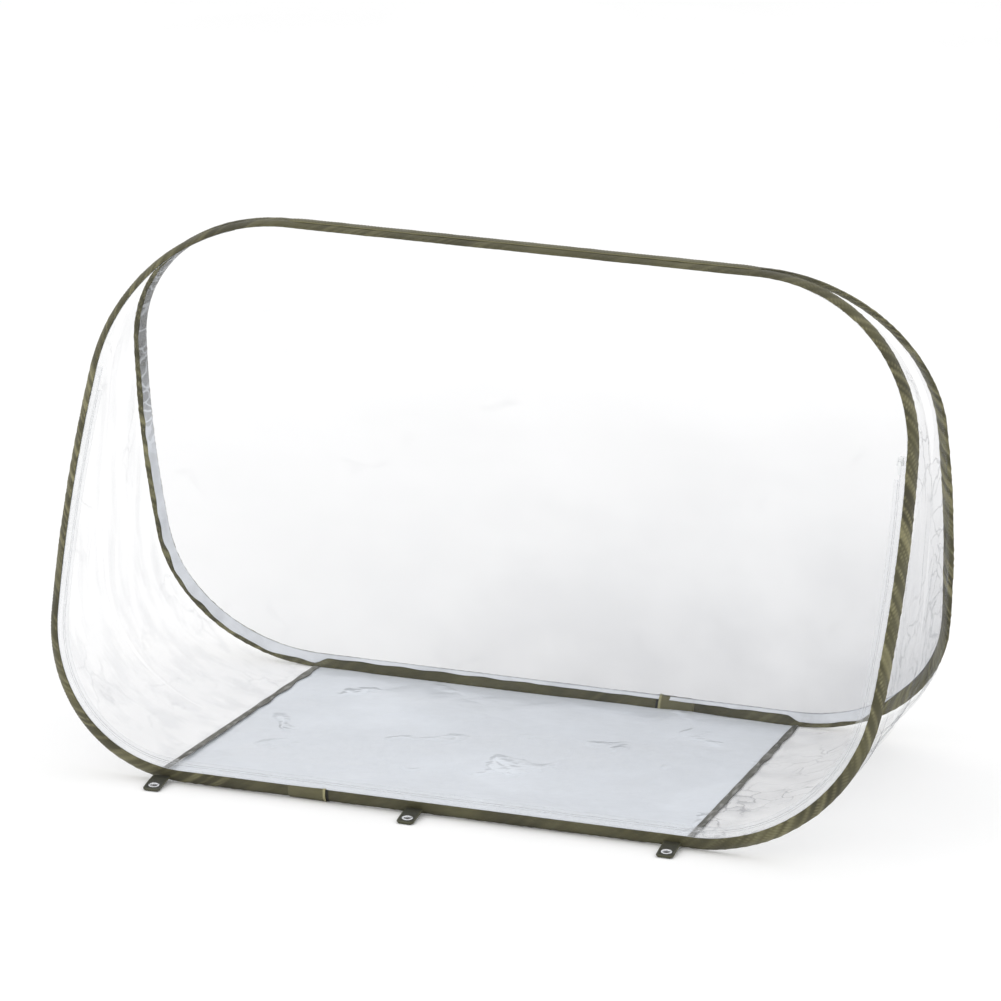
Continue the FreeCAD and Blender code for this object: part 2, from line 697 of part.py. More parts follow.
def ground_tab(name, frame):
    """Flat webbing with a hole for its eyelet and two clipped corners."""
    body = new_body(name)
    plan = new_sketch(body, "XY_Plane", f"{name}_plan", "-sizes.tab_thick / 2")
    wide, long, clip = size("tab_width"), size("tab_length"), size("tab_corner")
    half = wide / 2
    shapes = [
        line(-half, 0, -half, clip - long),
        line(-half, clip - long, clip - half, -long),
        line(clip - half, -long, half - clip, -long),
        line(half - clip, -long, half, clip - long),
        line(half, clip - long, half, 0),
        line(half, 0, -half, 0),
    ]
    plan.addGeometry(shapes, False)
    for one in range(6):
        plan.addConstraint(Sketcher.Constraint("Coincident", one, 2, (one + 1) % 6, 1))
    for flat in (2, 5):
        plan.addConstraint(Sketcher.Constraint("Horizontal", flat))
    for edge in (0, 4):
        plan.addConstraint(Sketcher.Constraint("Vertical", edge))
    plan.addConstraint(Sketcher.Constraint("Symmetric", 5, 1, 5, 2, *ORIGIN))
    plan.addConstraint(Sketcher.Constraint("Equal", 0, 4))
    tie(plan, "DistanceX", 0, 1, 4, 2, number=wide, to="sizes.tab_width")
    tie(plan, "DistanceY", 2, 1, 5, 2, number=long, to="sizes.tab_length")
    tie(plan, "DistanceX", 0, 2, 1, 2, number=clip, to="sizes.tab_corner")
    tie(plan, "DistanceX", 3, 1, 3, 2, number=clip, to="sizes.tab_corner")
    tie(plan, "DistanceY", 1, 2, 1, 1, number=clip, to="sizes.tab_corner")
    hole = size("eyelet_barrel") + size("eyelet_fit")
    ring = Part.Circle(Vector(0, size("eyelet_inset") - long, 0), Z_AXIS, hole)
    plan.addGeometry(ring, False)
    plan.addConstraint(Sketcher.Constraint("PointOnObject", 6, 3, Y_LINE))
    tie(plan, "Radius", 6, number=hole, to="sizes.eyelet_barrel + sizes.eyelet_fit")
    away = long - size("eyelet_inset")
    tie(plan, "DistanceY", 6, 3, *ORIGIN, number=away, to="sizes.tab_length - sizes.eyelet_inset")
    pad(body, plan, "sizes.tab_thick", f"{name}_webbing")
    body.Placement = frame
    return body


def eyelet(name, frame):
    """A rolled steel eyelet: a barrel through the webbing, and a flange on each side."""
    body = new_body(name)
    section = new_sketch(body, "XZ_Plane", f"{name}_section")
    bore, barrel, flange = size("eyelet_bore"), size("eyelet_barrel"), size("eyelet_flange")
    half = size("tab_thick") / 2
    face = half + size("eyelet_flange_thick")
    points = [
        (bore, -face),
        (flange, -face),
        (flange, -half),
        (barrel, -half),
        (barrel, half),
        (flange, half),
        (flange, face),
        (bore, face),
    ]
    edges = [line(*a, *b) for a, b in zip(points, points[1:] + points[:1])]
    section.addGeometry(edges, False)
    for one in range(8):
        section.addConstraint(Sketcher.Constraint("Coincident", one, 2, (one + 1) % 8, 1))
        kind = "Horizontal" if one % 2 == 0 else "Vertical"
        section.addConstraint(Sketcher.Constraint(kind, one))
    tie(section, "DistanceX", *ORIGIN, 0, 1, number=bore, to="sizes.eyelet_bore")
    tie(section, "DistanceX", *ORIGIN, 3, 1, number=barrel, to="sizes.eyelet_barrel")
    for corner in (1, 5):
        tie(section, "DistanceX", *ORIGIN, corner, 1, number=flange, to="sizes.eyelet_flange")
    tie(section, "DistanceY", 2, 1, *ORIGIN, number=half, to="sizes.tab_thick / 2")
    tie(section, "DistanceY", *ORIGIN, 4, 2, number=half, to="sizes.tab_thick / 2")
    to_face = "sizes.tab_thick / 2 + sizes.eyelet_flange_thick"
    tie(section, "DistanceY", 0, 1, *ORIGIN, number=face, to=to_face)
    tie(section, "DistanceY", *ORIGIN, 6, 2, number=face, to=to_face)
    turned = body.newObject("PartDesign::Revolution", f"{name}_turned")
    turned.Profile = section
    turned.ReferenceAxis = (section, ["V_Axis"])
    turned.Angle = 360
    body.Tip = turned
    along = Placement(Vector(0, size("eyelet_inset") - size("tab_length"), 0), Rotation())
    body.Placement = frame.multiply(along)
    return body


worked_insets()
pieces = [floor_sheet(), floor_seam("left_floor_seam", -1), floor_seam("right_floor_seam", 1)]
pieces += [end_film("right_end_film", 0), end_film("left_end_film", 180), ridge_tape()]
for hoop in (FRONT, REAR):
    pieces += [binding(hoop), binding_lap(hoop), hoop_wire(hoop), wire_crimp(hoop)]
pieces += [front_film(), door_film(), rear_film(), zip_slider(), zip_pull()]
frame_top = "sizes.zip_top"
door_top = "sizes.door_rise - sizes.door_gap"
pieces += [zip_tape("zip_frame_tape", "film_inset", "zip_frame_end", frame_top)]
pieces += [zip_tape("zip_door_tape", "zip_door_start", "zip_door_end", door_top)]
for hoop in (FRONT, REAR):
    for place, step in (("left", -1), ("centre", 0), ("right", 1)):
        shift = size("tab_shift") if hoop == FRONT else 0
        at_root = tab_frame(hoop, step * size("tab_spread") - shift)
        pieces += [ground_tab(f"{hoop}_{place}_tab", at_root)]
        pieces += [eyelet(f"{hoop}_{place}_eyelet", at_root)]
doc.recompute()

broken = [o.Label for o in doc.Objects if {"Invalid", "Error"} & set(o.State)]
broken += [p.Label for p in pieces if p.Shape.isNull() or not p.Shape.isValid()]
if broken:
    raise RuntimeError(f"these objects failed: {broken}")

os.makedirs("parts", exist_ok=True)
for piece in pieces:
    piece.Shape.exportStep(f"parts/{piece.Label}.step")
    box = piece.Shape.optimalBoundingBox()
    low = f"{box.XMin:8.1f} {box.YMin:8.1f} {box.ZMin:8.2f}"
    high = f"{box.XMax:8.1f} {box.YMax:8.1f} {box.ZMax:8.2f}"
    solids = len(piece.Shape.Solids)
    print(f"{piece.Label:20s} {low} {high} {piece.Shape.Volume:10.0f} {solids}")
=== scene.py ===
# %% [markdown]
# # A pop-up mini greenhouse
# Two hoops of flat spring steel run in olive fabric sleeves. They are sewn together along the
# ridge and stand apart at the foot, with clear film between them: a front with a zipped door, a
# back, two end walls and a floor. This lesson dresses the working frame, piece by piece, with
# cloth, film, zip, webbing and eyelets. The frame already has the true sizes and joints, so every
# piece is built where the frame says and is then tied to the body that it moves with.

import json
import math

import bmesh
import bpy
from mathutils import Matrix, Vector, noise


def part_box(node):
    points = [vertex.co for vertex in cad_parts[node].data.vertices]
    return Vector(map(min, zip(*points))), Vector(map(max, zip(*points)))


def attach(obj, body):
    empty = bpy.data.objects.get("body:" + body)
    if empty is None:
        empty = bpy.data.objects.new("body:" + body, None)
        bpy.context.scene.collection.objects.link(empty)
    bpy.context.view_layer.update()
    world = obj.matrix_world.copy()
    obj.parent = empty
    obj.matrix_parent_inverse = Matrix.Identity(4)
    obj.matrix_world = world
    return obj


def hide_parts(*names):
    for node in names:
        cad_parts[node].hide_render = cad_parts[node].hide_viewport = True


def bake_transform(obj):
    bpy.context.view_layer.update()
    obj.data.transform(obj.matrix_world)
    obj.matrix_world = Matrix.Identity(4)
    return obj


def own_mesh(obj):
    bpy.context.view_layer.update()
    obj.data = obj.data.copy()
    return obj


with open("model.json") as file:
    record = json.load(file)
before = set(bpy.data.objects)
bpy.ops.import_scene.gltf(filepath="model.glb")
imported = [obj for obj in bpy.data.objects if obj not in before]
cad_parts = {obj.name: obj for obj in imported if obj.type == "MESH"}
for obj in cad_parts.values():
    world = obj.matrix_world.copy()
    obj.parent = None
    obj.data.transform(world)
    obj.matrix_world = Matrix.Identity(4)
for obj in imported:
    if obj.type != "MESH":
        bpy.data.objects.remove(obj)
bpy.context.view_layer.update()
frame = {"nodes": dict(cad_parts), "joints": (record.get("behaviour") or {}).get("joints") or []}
joints = {joint["name"]: joint for joint in frame["joints"]}

# %% [markdown]
# ## The hoop as a drawing
# A hoop is flat, so its line is a plan of straight runs and round bends: the foot, a low corner, a
# long slow side, a tighter top corner and the ridge. Each half mirrors the other. One could pull
# points from the frame's mesh, but a line made of bends can be followed exactly by the spin
# operator, and it gives a place on the hoop for any distance along it. The lean and the ridge's
# height come from the fold joint.

# %% The hoop's driving sizes
MM = 0.001
FRONT = "front"
REAR = "rear"
hoop_width = 987 * MM
hoop_rise = 655 * MM
widest_rise = 322 * MM
low_radius = 187 * MM
side_radius = 1989 * MM
top_radius = 206 * MM
ridge_offset = 9.1 * MM
lean = -math.radians(joints["front_fold"]["range_deg"][0])
ridge_z = joints["front_fold"]["pos_m"][2]
foot_back = hoop_rise * math.sin(lean) + ridge_offset
foot_z = ridge_z - hoop_rise * math.cos(lean)

# %% Where a hoop's flat drawing stands
upright = Matrix.Rotation(math.pi / 2 - lean, 4, "X")
place = {FRONT: Matrix.Translation((0, -foot_back, foot_z)) @ upright}
place[REAR] = Matrix.Rotation(math.pi, 4, "Z") @ place[FRONT]
body_of_side = {FRONT: "front_frame", REAR: "rear_frame"}
print("foot", round(foot_back, 4), "from the middle; ridge at", round(ridge_z, 4))

# %% The bends of the right half
side_x = hoop_width / 2 - side_radius


def bend_x(radius, rise):
    """Where a corner's centre lies, so that the corner runs smoothly into the side."""
    reach = side_radius - radius
    return side_x + math.sqrt(reach**2 - (rise - widest_rise) ** 2)


low_x = bend_x(low_radius, low_radius)
top_y = hoop_rise - top_radius
top_x = bend_x(top_radius, top_y)
low_turn = math.atan2(low_radius - widest_rise, low_x - side_x)
top_turn = math.atan2(top_y - widest_rise, top_x - side_x)
bends = [
    ((low_x, low_radius), low_radius, -math.pi / 2, low_turn),
    ((side_x, widest_rise), side_radius, low_turn, top_turn),
    ((top_x, top_y), top_radius, top_turn, math.pi / 2),
]
bend_lengths = [radius * (end - start) for _, radius, start, end in bends]
half_length = low_x + sum(bend_lengths) + top_x
print("the hoop is", round(2 * half_length, 3), "m round")

# %% Along the hoop and back


def on_hoop(along, inset=0.0):
    """The point that far along the right half from the middle of the foot, moved inwards."""
    if along <= low_x:
        return along, inset
    along -= low_x
    for ((x, y), radius, start, _), length in zip(bends, bend_lengths):
        if along <= length:
            turn = start + along / radius
            reach = radius - inset
            return x + reach * math.cos(turn), y + reach * math.sin(turn)
        along -= length
    return top_x - along, hoop_rise - inset


def find_on_hoop(x, y):
    """How far along the half a point lies, and how far inwards of the hoop's line."""
    x = abs(x)
    if x <= low_x and y < widest_rise:
        return x, y
    turn = math.atan2(y - widest_rise, x - side_x)
    if turn < low_turn:
        which = 0
    elif turn <= top_turn:
        which = 1
    elif x >= top_x:
        which = 2
    else:
        return half_length - x, hoop_rise - y
    (cx, cy), radius, start, _ = bends[which]
    turn = math.atan2(y - cy, x - cx)
    along = low_x + sum(bend_lengths[:which]) + radius * (turn - start)
    return along, radius - math.hypot(x - cx, y - cy)


def blend_steps(value, start, end):
    """A smooth step from 0 to 1 between two values."""
    share = min(1.0, max(0.0, (value - start) / (end - start)))
    return share * share * (3 - 2 * share)


def half_width(rise, inset):
    """How far from the middle the hoop's inset line is, at a given rise."""
    low = (low_radius - inset) ** 2 - (rise - low_radius) ** 2
    top = (top_radius - inset) ** 2 - (rise - top_y) ** 2
    low_end = low_radius + (low_radius - inset) * math.sin(low_turn)
    top_end = top_y + (top_radius - inset) * math.sin(top_turn)
    if rise < low_end:
        return low_x + math.sqrt(max(low, 0))
    if rise > top_end:
        return top_x + math.sqrt(max(top, 0))
    reach = side_radius - inset
    return side_x + math.sqrt(reach**2 - (rise - widest_rise) ** 2)


# %% [markdown]
# ## From a working mesh to a finished piece
# Every piece ends the same way: its mesh is moved to its place in the row, its faces are shaded
# smooth, it gets its finish, and it is tied to a body. The object itself stays at the origin,
# unturned. One helper does all of that, so no piece can forget a step.

# %% Finish a piece


def finish_piece(name, bm, material, where=Matrix.Identity(4), body=None, nodes=()):
    """Turn a working mesh into a finished object, give it its finish and tie it to its body."""
    bmesh.ops.transform(bm, matrix=where, verts=bm.verts)
    mesh = bpy.data.meshes.new(name)
    bm.to_mesh(mesh)
    bm.free()
    mesh.polygons.foreach_set("use_smooth", [True] * len(mesh.polygons))
    mesh.materials.append(material)
    piece = bpy.data.objects.new(name, mesh)
    bpy.context.scene.collection.objects.link(piece)
    if body:
        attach(piece, body)
    if nodes:
        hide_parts(*nodes)
    print(name, len(mesh.polygons), "faces")
    return piece


def lay_uv(bm, where):
    """Give each corner its own pattern place, in metres, from the vertex's position."""
    layer = bm.loops.layers.uv.verify()
    for vert in bm.verts:
        spot = where(vert.co)
        for loop in vert.link_loops:
            loop[layer].uv = spot


def thicken(piece, thick):
    """A wall of even thickness, grown to both sides of the sheet."""
    wall = piece.modifiers.new("wall", "SOLIDIFY")
    wall.thickness = thick
    wall.offset = 0


# %% [markdown]
# ## Carrying a section round the hoop
# The sleeve, the zip tapes and the film hems all follow the hoop's line. A curve with a bevel
# could do it, but then the section's tilt is hard to hold. Here a closed ring of points stands in
# the middle of the foot and is carried out along the foot, spun round the three bends and carried
# back along the ridge. The left half is a mirror image, joined at the middle. In the drawing X
# runs along the foot, Y up the hoop's face and Z outwards.

# %% Carry a section round the hoop


def carry_round(section, step, start_x=0.0):
    """A closed section of (inwards, outwards) points, swept round both halves of the hoop."""
    bm = bmesh.new()
    ring = [bm.verts.new((start_x, inwards, out)) for inwards, out in section]
    edges = [bm.edges.new(pair) for pair in zip(ring, ring[1:] + ring[:1])]

    def run(edges, move, steps):
        for _ in range(steps):
            grown = bmesh.ops.extrude_edge_only(bm, edges=edges)["geom"]
            verts = [g for g in grown if isinstance(g, bmesh.types.BMVert)]
            edges = [g for g in grown if isinstance(g, bmesh.types.BMEdge)]
            edges = [e for e in edges if all(v in verts for v in e.verts)]
            bmesh.ops.translate(bm, verts=verts, vec=move / steps)
        return edges

    foot_run = low_x - start_x
    edges = run(edges, Vector((foot_run, 0, 0)), max(1, round(foot_run / step)))
    for ((x, y), _, first, last), length in zip(bends, bend_lengths):
        verts = list({v for e in edges for v in e.verts})
        spun = bmesh.ops.spin(
            bm,
            geom=verts + edges,
            cent=(x, y, 0),
            axis=(0, 0, 1),
            dvec=(0, 0, 0),
            angle=last - first,
            steps=round(length / step),
            use_merge=False,
            use_duplicate=False,
        )
        edges = [g for g in spun["geom_last"] if isinstance(g, bmesh.types.BMEdge)]
    if start_x == 0:
        run(edges, Vector((-top_x, 0, 0)), round(top_x / step))
    whole = bm.verts[:] + bm.edges[:] + bm.faces[:]
    bmesh.ops.mirror(bm, geom=whole, matrix=Matrix.Identity(4), merge_dist=1e-6, axis="X")
    bmesh.ops.remove_doubles(bm, verts=bm.verts, dist=1e-6)
    bmesh.ops.recalc_face_normals(bm, faces=bm.faces)
    return bm


# %% [markdown]
# ## Shared effects
# Three effects come back in several finishes, so each is a node group with named sockets. The
# first is a weave: two sets of threads that pass over and under. The second is a soft patchy
# variation, for dye, dust and handling. The third is a crinkle: the sharp, jagged lines that thin
# film keeps after it has been folded. It starts from cell borders bent by a noise, and a second,
# wider noise lets only some of them through.

# %% Build a node group


def new_group(name, inputs, outputs):
    """A node group with its sockets, given as (name, kind, default) and (name, kind)."""
    group = bpy.data.node_groups.new(name, "ShaderNodeTree")
    for title, kind, default in inputs:
        socket = group.interface.new_socket(title, in_out="INPUT", socket_type=kind)
        if default is not None:
            socket.default_value = default
    for title, kind in outputs:
        group.interface.new_socket(title, in_out="OUTPUT", socket_type=kind)
    return group, group.nodes.new("NodeGroupInput"), group.nodes.new("NodeGroupOutput")


def add_node(tree, kind, links=(), **settings):
    """A node with its settings, its linked inputs and its plain input values."""
    node = tree.nodes.new(kind)
    for key, value in settings.items():
        setattr(node, key, value)
    for socket, value in links:
        if isinstance(value, bpy.types.NodeSocket):
            tree.links.new(value, node.inputs[socket])
        else:
            node.inputs[socket].default_value = value
    return node


def math_node(tree, operation, *values, clamp=False):
    """One step of arithmetic, returned as its output."""
    links = list(enumerate(values))
    return add_node(tree, "ShaderNodeMath", links, operation=operation, use_clamp=clamp).outputs[0]


VECTOR, NUMBER = "NodeSocketVector", "NodeSocketFloat"

# %% The weave group
weave, weave_in, weave_out = new_group(
    "Weave", [("Vector", VECTOR, None), ("Pitch", NUMBER, 0.8 * MM)], [("Height", NUMBER)]
)
turns = math_node(weave, "DIVIDE", 2 * math.pi, weave_in.outputs["Pitch"])
threads = add_node(
    weave,
    "ShaderNodeVectorMath",
    [(0, weave_in.outputs["Vector"]), ("Scale", turns)],
    operation="SCALE",
)
axes = add_node(weave, "ShaderNodeSeparateXYZ", [(0, threads.outputs[0])])
warp = math_node(weave, "SINE", axes.outputs[0])
weft = math_node(weave, "SINE", axes.outputs[1])
crossing = math_node(weave, "MULTIPLY", warp, weft)
raised = math_node(weave, "MULTIPLY_ADD", crossing, 0.5, 0.5)
weave.links.new(raised, weave_out.inputs["Height"])

# %% The variation group
patches, patches_in, patches_out = new_group(
    "Patches",
    [
        ("Vector", VECTOR, None),
        ("Scale", NUMBER, 10.0),
        ("Low", NUMBER, 0.0),
        ("High", NUMBER, 1.0),
    ],
    [("Value", NUMBER)],
)
cloud = add_node(
    patches,
    "ShaderNodeTexNoise",
    [("Vector", patches_in.outputs["Vector"]), ("Scale", patches_in.outputs["Scale"])],
)
cloud.inputs["Detail"].default_value = 4
spread = add_node(
    patches,
    "ShaderNodeMapRange",
    [
        ("Value", cloud.outputs[0]),
        ("From Min", 0.35),
        ("From Max", 0.65),
        ("To Min", patches_in.outputs["Low"]),
        ("To Max", patches_in.outputs["High"]),
    ],
)
patches.links.new(spread.outputs[0], patches_out.inputs["Value"])

# %% The crinkle group
crinkle, crinkle_in, crinkle_out = new_group(
    "Crinkle",
    [
        ("Vector", VECTOR, None),
        ("Scale", NUMBER, 12.0),
        ("Width", NUMBER, 0.05),
        ("Cover", NUMBER, 0.5),
    ],
    [("Line", NUMBER), ("Height", NUMBER)],
)
bent = add_node(
    crinkle,
    "ShaderNodeTexNoise",
    [("Vector", crinkle_in.outputs["Vector"]), ("Scale", 18.0), ("Detail", 3.0)],
)
shift = add_node(
    crinkle, "ShaderNodeVectorMath", [(0, bent.outputs[1]), ("Scale", 0.07)], operation="SCALE"
)
moved = add_node(
    crinkle,
    "ShaderNodeVectorMath",
    [(0, crinkle_in.outputs["Vector"]), (1, shift.outputs[0])],
    operation="ADD",
)
cells = add_node(
    crinkle,
    "ShaderNodeTexVoronoi",
    [("Vector", moved.outputs[0]), ("Scale", crinkle_in.outputs["Scale"])],
    feature="DISTANCE_TO_EDGE",
)
line = add_node(
    crinkle,
    "ShaderNodeMapRange",
    [
        ("Value", cells.outputs["Distance"]),
        ("From Min", 0.0),
        ("From Max", crinkle_in.outputs["Width"]),
        ("To Min", 1.0),
        ("To Max", 0.0),
    ],
    interpolation_type="SMOOTHSTEP",
)
where_folded = add_node(
    crinkle,
    "ShaderNodeTexNoise",
    [("Vector", crinkle_in.outputs["Vector"]), ("Scale", 9.0), ("Detail", 2.0)],
)
cover_edge = math_node(crinkle, "SUBTRACT", 0.72, math_node(crinkle, "MULTIPLY", crinkle_in.outputs["Cover"], 0.4))
gate = math_node(crinkle, "SUBTRACT", where_folded.outputs[0], cover_edge)
gate = math_node(crinkle, "MULTIPLY", gate, 9.0, clamp=True)
shown_line = math_node(crinkle, "MULTIPLY", line.outputs[0], gate)
crinkle.links.new(shown_line, crinkle_out.inputs["Line"])
height = math_node(crinkle, "MULTIPLY_ADD", cells.outputs["Distance"], 1.5, shown_line)
crinkle.links.new(height, crinkle_out.inputs["Height"])

# %% [markdown]
# ## Finishes
# Each finish is a Principled shader fed by these effects. A value that is the same all over sits
# on the shader itself. Colours are given as the eye sees them and turned into light values once.

# %% Start a material


def light(red, green, blue):
    """A colour from 0 to 255 as the eye sees it, turned into the shader's linear light."""
    linear = []
    for part in (red / 255, green / 255, blue / 255):
        linear.append(part / 12.92 if part <= 0.04045 else ((part + 0.055) / 1.055) ** 2.4)
    return (*linear, 1.0)


def new_material(name, **values):
    """A material with a Principled shader and its constant values."""
    material = bpy.data.materials.new(name)
    material.use_nodes = True
    shader = material.node_tree.nodes["Principled BSDF"]
    for key, value in values.items():
        shader.inputs[key.replace("_", " ").title().replace("Ior", "IOR")].default_value = value
    return material, material.node_tree, shader


def use_group(tree, group, **values):
    """One use of a shared effect with its own values; sockets are linked, numbers are set."""
    links = [(key.title(), value) for key, value in values.items()]
    node = add_node(tree, "ShaderNodeGroup", (), node_tree=group)
    for socket, value in links:
        if isinstance(value, bpy.types.NodeSocket):
            tree.links.new(value, node.inputs[socket])
        else:
            node.inputs[socket].default_value = value
    return node


def mix_colours(tree, share, low, high):
    """Blend two colours by a share; returns the colour socket."""
    node = add_node(tree, "ShaderNodeMix", (), data_type="RGBA")
    for socket, value in ((0, share), (6, low), (7, high)):
        if isinstance(value, bpy.types.NodeSocket):
            tree.links.new(value, node.inputs[socket])
        else:
            node.inputs[socket].default_value = value
    return node.outputs[2]


def bump(tree, shader, height, distance, strength=1.0):
    """Feed a height into the shader's normal, with the relief's real depth."""
    links = [("Height", height), ("Distance", distance), ("Strength", strength)]
    node = add_node(tree, "ShaderNodeBump", links)
    tree.links.new(node.outputs[0], shader.inputs["Normal"])


def object_place(tree):
    return add_node(tree, "ShaderNodeTexCoord").outputs["Object"]


def uv_place(tree):
    return add_node(tree, "ShaderNodeTexCoord").outputs["UV"]


# %% Olive cloth of the sleeves


def olive_cloth(name, dark, middle, pale_and_highlight, pitch):
    """Polyester binding cloth: dyed unevenly, with painted highlights in a pale colour on its creases and edges,
    and a fine weave.
    """
    material, tree, shader = new_material(name, sheen_weight=0.04)
    where = object_place(tree)
    patch = use_group(tree, patches, vector=where, scale=14.0, low=0.0, high=1.0)
    colour = mix_colours(tree, patch.outputs[0], light(*dark), light(*middle))
    # Painted highlight: the attribute marks creased ridges and edges, which are drawn in the pale colour.
    painted_highlight = add_node(tree, "ShaderNodeAttribute", (), attribute_name="painted_highlight")
    colour = mix_colours(tree, painted_highlight.outputs["Fac"], colour, light(*pale_and_highlight))
    tree.links.new(colour, shader.inputs["Base Color"])
    threads = use_group(tree, weave, vector=uv_place(tree), pitch=pitch)
    fuzz = use_group(tree, patches, vector=where, scale=420.0, low=0.0, high=0.6)
    relief = math_node(tree, "ADD", threads.outputs[0], fuzz.outputs[0])
    bump(tree, shader, relief, 0.12 * MM)
    rough = use_group(tree, patches, vector=where, scale=35.0, low=0.5, high=0.72)
    tree.links.new(rough.outputs[0], shader.inputs["Roughness"])
    return material


# The third colour of each cloth is its painted highlight on creases and edges.
sleeve_cloth = olive_cloth("olive sleeve cloth", (60, 57, 35), (84, 81, 53), (146, 141, 104), 0.7 * MM)
# The lap is the sleeve's own cloth in lighter colours: painted light on the raised lap.
lap_cloth_painted_lighter = olive_cloth("olive lap cloth painted lighter", (78, 75, 48), (98, 94, 64), (160, 155, 116), 0.7 * MM)
seam_cloth = olive_cloth("seam tape cloth", (66, 65, 54), (100, 99, 90), (178, 178, 174), 0.7 * MM)
webbing_cloth = olive_cloth("tab webbing", (30, 31, 18), (46, 46, 28), (84, 84, 56), 1.4 * MM)

# %% Clear film
fold_shade_streak_scale = 30.0


def clear_film(name, tint_and_shade, haze_and_shade, lines, relief, rough, shade_gain_along_x=0.0, fold_shade_streaks=0.0):
    """Thin clear film: nearly nothing face on; its grey, part haze and part painted shade, grows low down, towards
    +x and along its crinkles.
    """
    low_haze_and_shade, high_haze_and_shade = haze_and_shade
    crease_and_shade_alpha, cover, scale = lines
    material, tree, shader = new_material(name, base_color=light(*tint_and_shade), ior=1.45)
    where = object_place(tree)
    spot = add_node(tree, "ShaderNodeSeparateXYZ", [(0, where)])
    # Painted shade: the grey runs from its low value at the floor to its high value 0.52 m up, so on the rear film
    # it is darkest low down.
    rise = add_node(
        tree,
        "ShaderNodeMapRange",
        [
            ("Value", spot.outputs[2]),
            ("From Min", 0.0),
            ("From Max", 0.52),
            ("To Min", low_haze_and_shade),
            ("To Max", high_haze_and_shade),
        ],
    )
    # Painted shade: this factor makes the grey grow towards +x.
    sideways = math_node(tree, "MULTIPLY_ADD", spot.outputs[0], shade_gain_along_x, 1.0)
    cloudy = use_group(tree, patches, vector=where, scale=5.0, low=0.82, high=1.18)
    folds = use_group(tree, crinkle, vector=where, scale=scale, width=0.06, cover=cover)
    haze_and_shade_alpha = math_node(tree, "MULTIPLY", rise.outputs[0], cloudy.outputs[0])
    haze_and_shade_alpha = math_node(tree, "MULTIPLY", haze_and_shade_alpha, sideways)
    # Painted shade of the walls' folds: soft streaks stretched upwards, faded out near the sewn edge.
    if fold_shade_streaks:
        slack = add_node(tree, "ShaderNodeAttribute", (), attribute_name="slack").outputs["Fac"]
        drawn = add_node(tree, "ShaderNodeMapping", [("Vector", where), ("Scale", (1.0, 1.0, 0.2))])
        painted_fold_streak = use_group(
            tree, patches, vector=drawn.outputs[0], scale=fold_shade_streak_scale, low=-0.6, high=1.0
        )
        painted_fold_streak = math_node(tree, "MAXIMUM", painted_fold_streak.outputs[0], 0.0)
        haze_and_shade_alpha = math_node(tree, "MULTIPLY_ADD", painted_fold_streak, fold_shade_streaks, haze_and_shade_alpha)
        haze_and_shade_alpha = math_node(tree, "MULTIPLY", haze_and_shade_alpha, slack)
    # The crinkle lines are drawn more opaque: partly the creases that the film keeps, and partly painted shade
    # along its folds where the tint is dark.
    shown = math_node(tree, "MULTIPLY_ADD", folds.outputs["Line"], crease_and_shade_alpha, haze_and_shade_alpha, clamp=True)
    tree.links.new(shown, shader.inputs["Alpha"])
    bump(tree, shader, folds.outputs["Height"], relief)
    glossy = use_group(tree, patches, vector=where, scale=8.0, low=rough * 0.7, high=rough * 1.5)
    tree.links.new(glossy.outputs[0], shader.inputs["Roughness"])
    return material


def hem_finish(name, grey, pale_and_highlight):
    """Doubled film over the sleeve: grey near the ridge, nearly white round the low bend, with painted highlights
    along its crinkle streaks.
    """
    material, tree, shader = new_material(name, ior=1.45)
    where = object_place(tree)
    rise = add_node(tree, "ShaderNodeSeparateXYZ", [(0, where)]).outputs[2]
    lower = add_node(
        tree,
        "ShaderNodeMapRange",
        [("Value", rise), ("From Min", 0.42), ("From Max", 0.25), ("To Min", 0.0), ("To Max", 1.0)],
        interpolation_type="SMOOTHSTEP",
    ).outputs[0]
    # Painted highlight: crinkle streaks drawn in the pale colour, where the creased hem catches light.
    painted_fold_streak = use_group(tree, crinkle, vector=where, scale=40.0, width=0.12, cover=1.0)
    painted_fold_streak = math_node(tree, "MULTIPLY", painted_fold_streak.outputs["Line"], 0.5)
    share = math_node(tree, "ADD", lower, painted_fold_streak, clamp=True)
    colour = mix_colours(tree, share, light(*grey), light(*pale_and_highlight))
    tree.links.new(colour, shader.inputs["Base Color"])
    patch = use_group(tree, patches, vector=where, scale=26.0, low=-0.12, high=0.12)
    cover = math_node(tree, "MULTIPLY_ADD", share, 0.45, 0.45)
    cover = math_node(tree, "ADD", cover, patch.outputs[0], clamp=True)
    tree.links.new(math_node(tree, "MINIMUM", cover, 0.95), shader.inputs["Alpha"])
    rough = use_group(tree, patches, vector=where, scale=60.0, low=0.25, high=0.5)
    tree.links.new(rough.outputs[0], shader.inputs["Roughness"])
    return material


# The tints and haze values paint shade: the rear and right wall films get dark tints, and the front, rear and left
# films get a grey that grows low down, and on the front and rear ones also towards +x. The floor film's pale tint
# is even.
front_film = clear_film(
    "front film", (150, 156, 166), (0.04, 0.01), (0.05, 0.2, 6.0), 0.6 * MM, 0.14, 0.4
)
rear_film = clear_film(
    "rear film", (82, 90, 112), (0.27, 0.0), (0.05, 0.3, 6.0), 0.8 * MM, 0.16, 1.3
)
wall_film = {
    "left": clear_film(
        "left wall film", (150, 155, 166), (0.05, 0.01), (0.1, 0.5, 16.0), 2.0 * MM, 0.2, 0.0, 0.11
    ),
    "right": clear_film(
        "right wall film", (66, 72, 88), (0.1, 0.11), (0.26, 0.6, 30.0), 2.2 * MM, 0.2, 0.0, 0.06
    ),
}
floor_film = clear_film(
    "floor film", (226, 231, 238), (0.8, 0.8), (0.1, 0.5, 5.0), 3.2 * MM, 0.16
)
hem_film = hem_finish("film hem", (172, 173, 174), (226, 229, 234))

# %% Zip, thread and metal


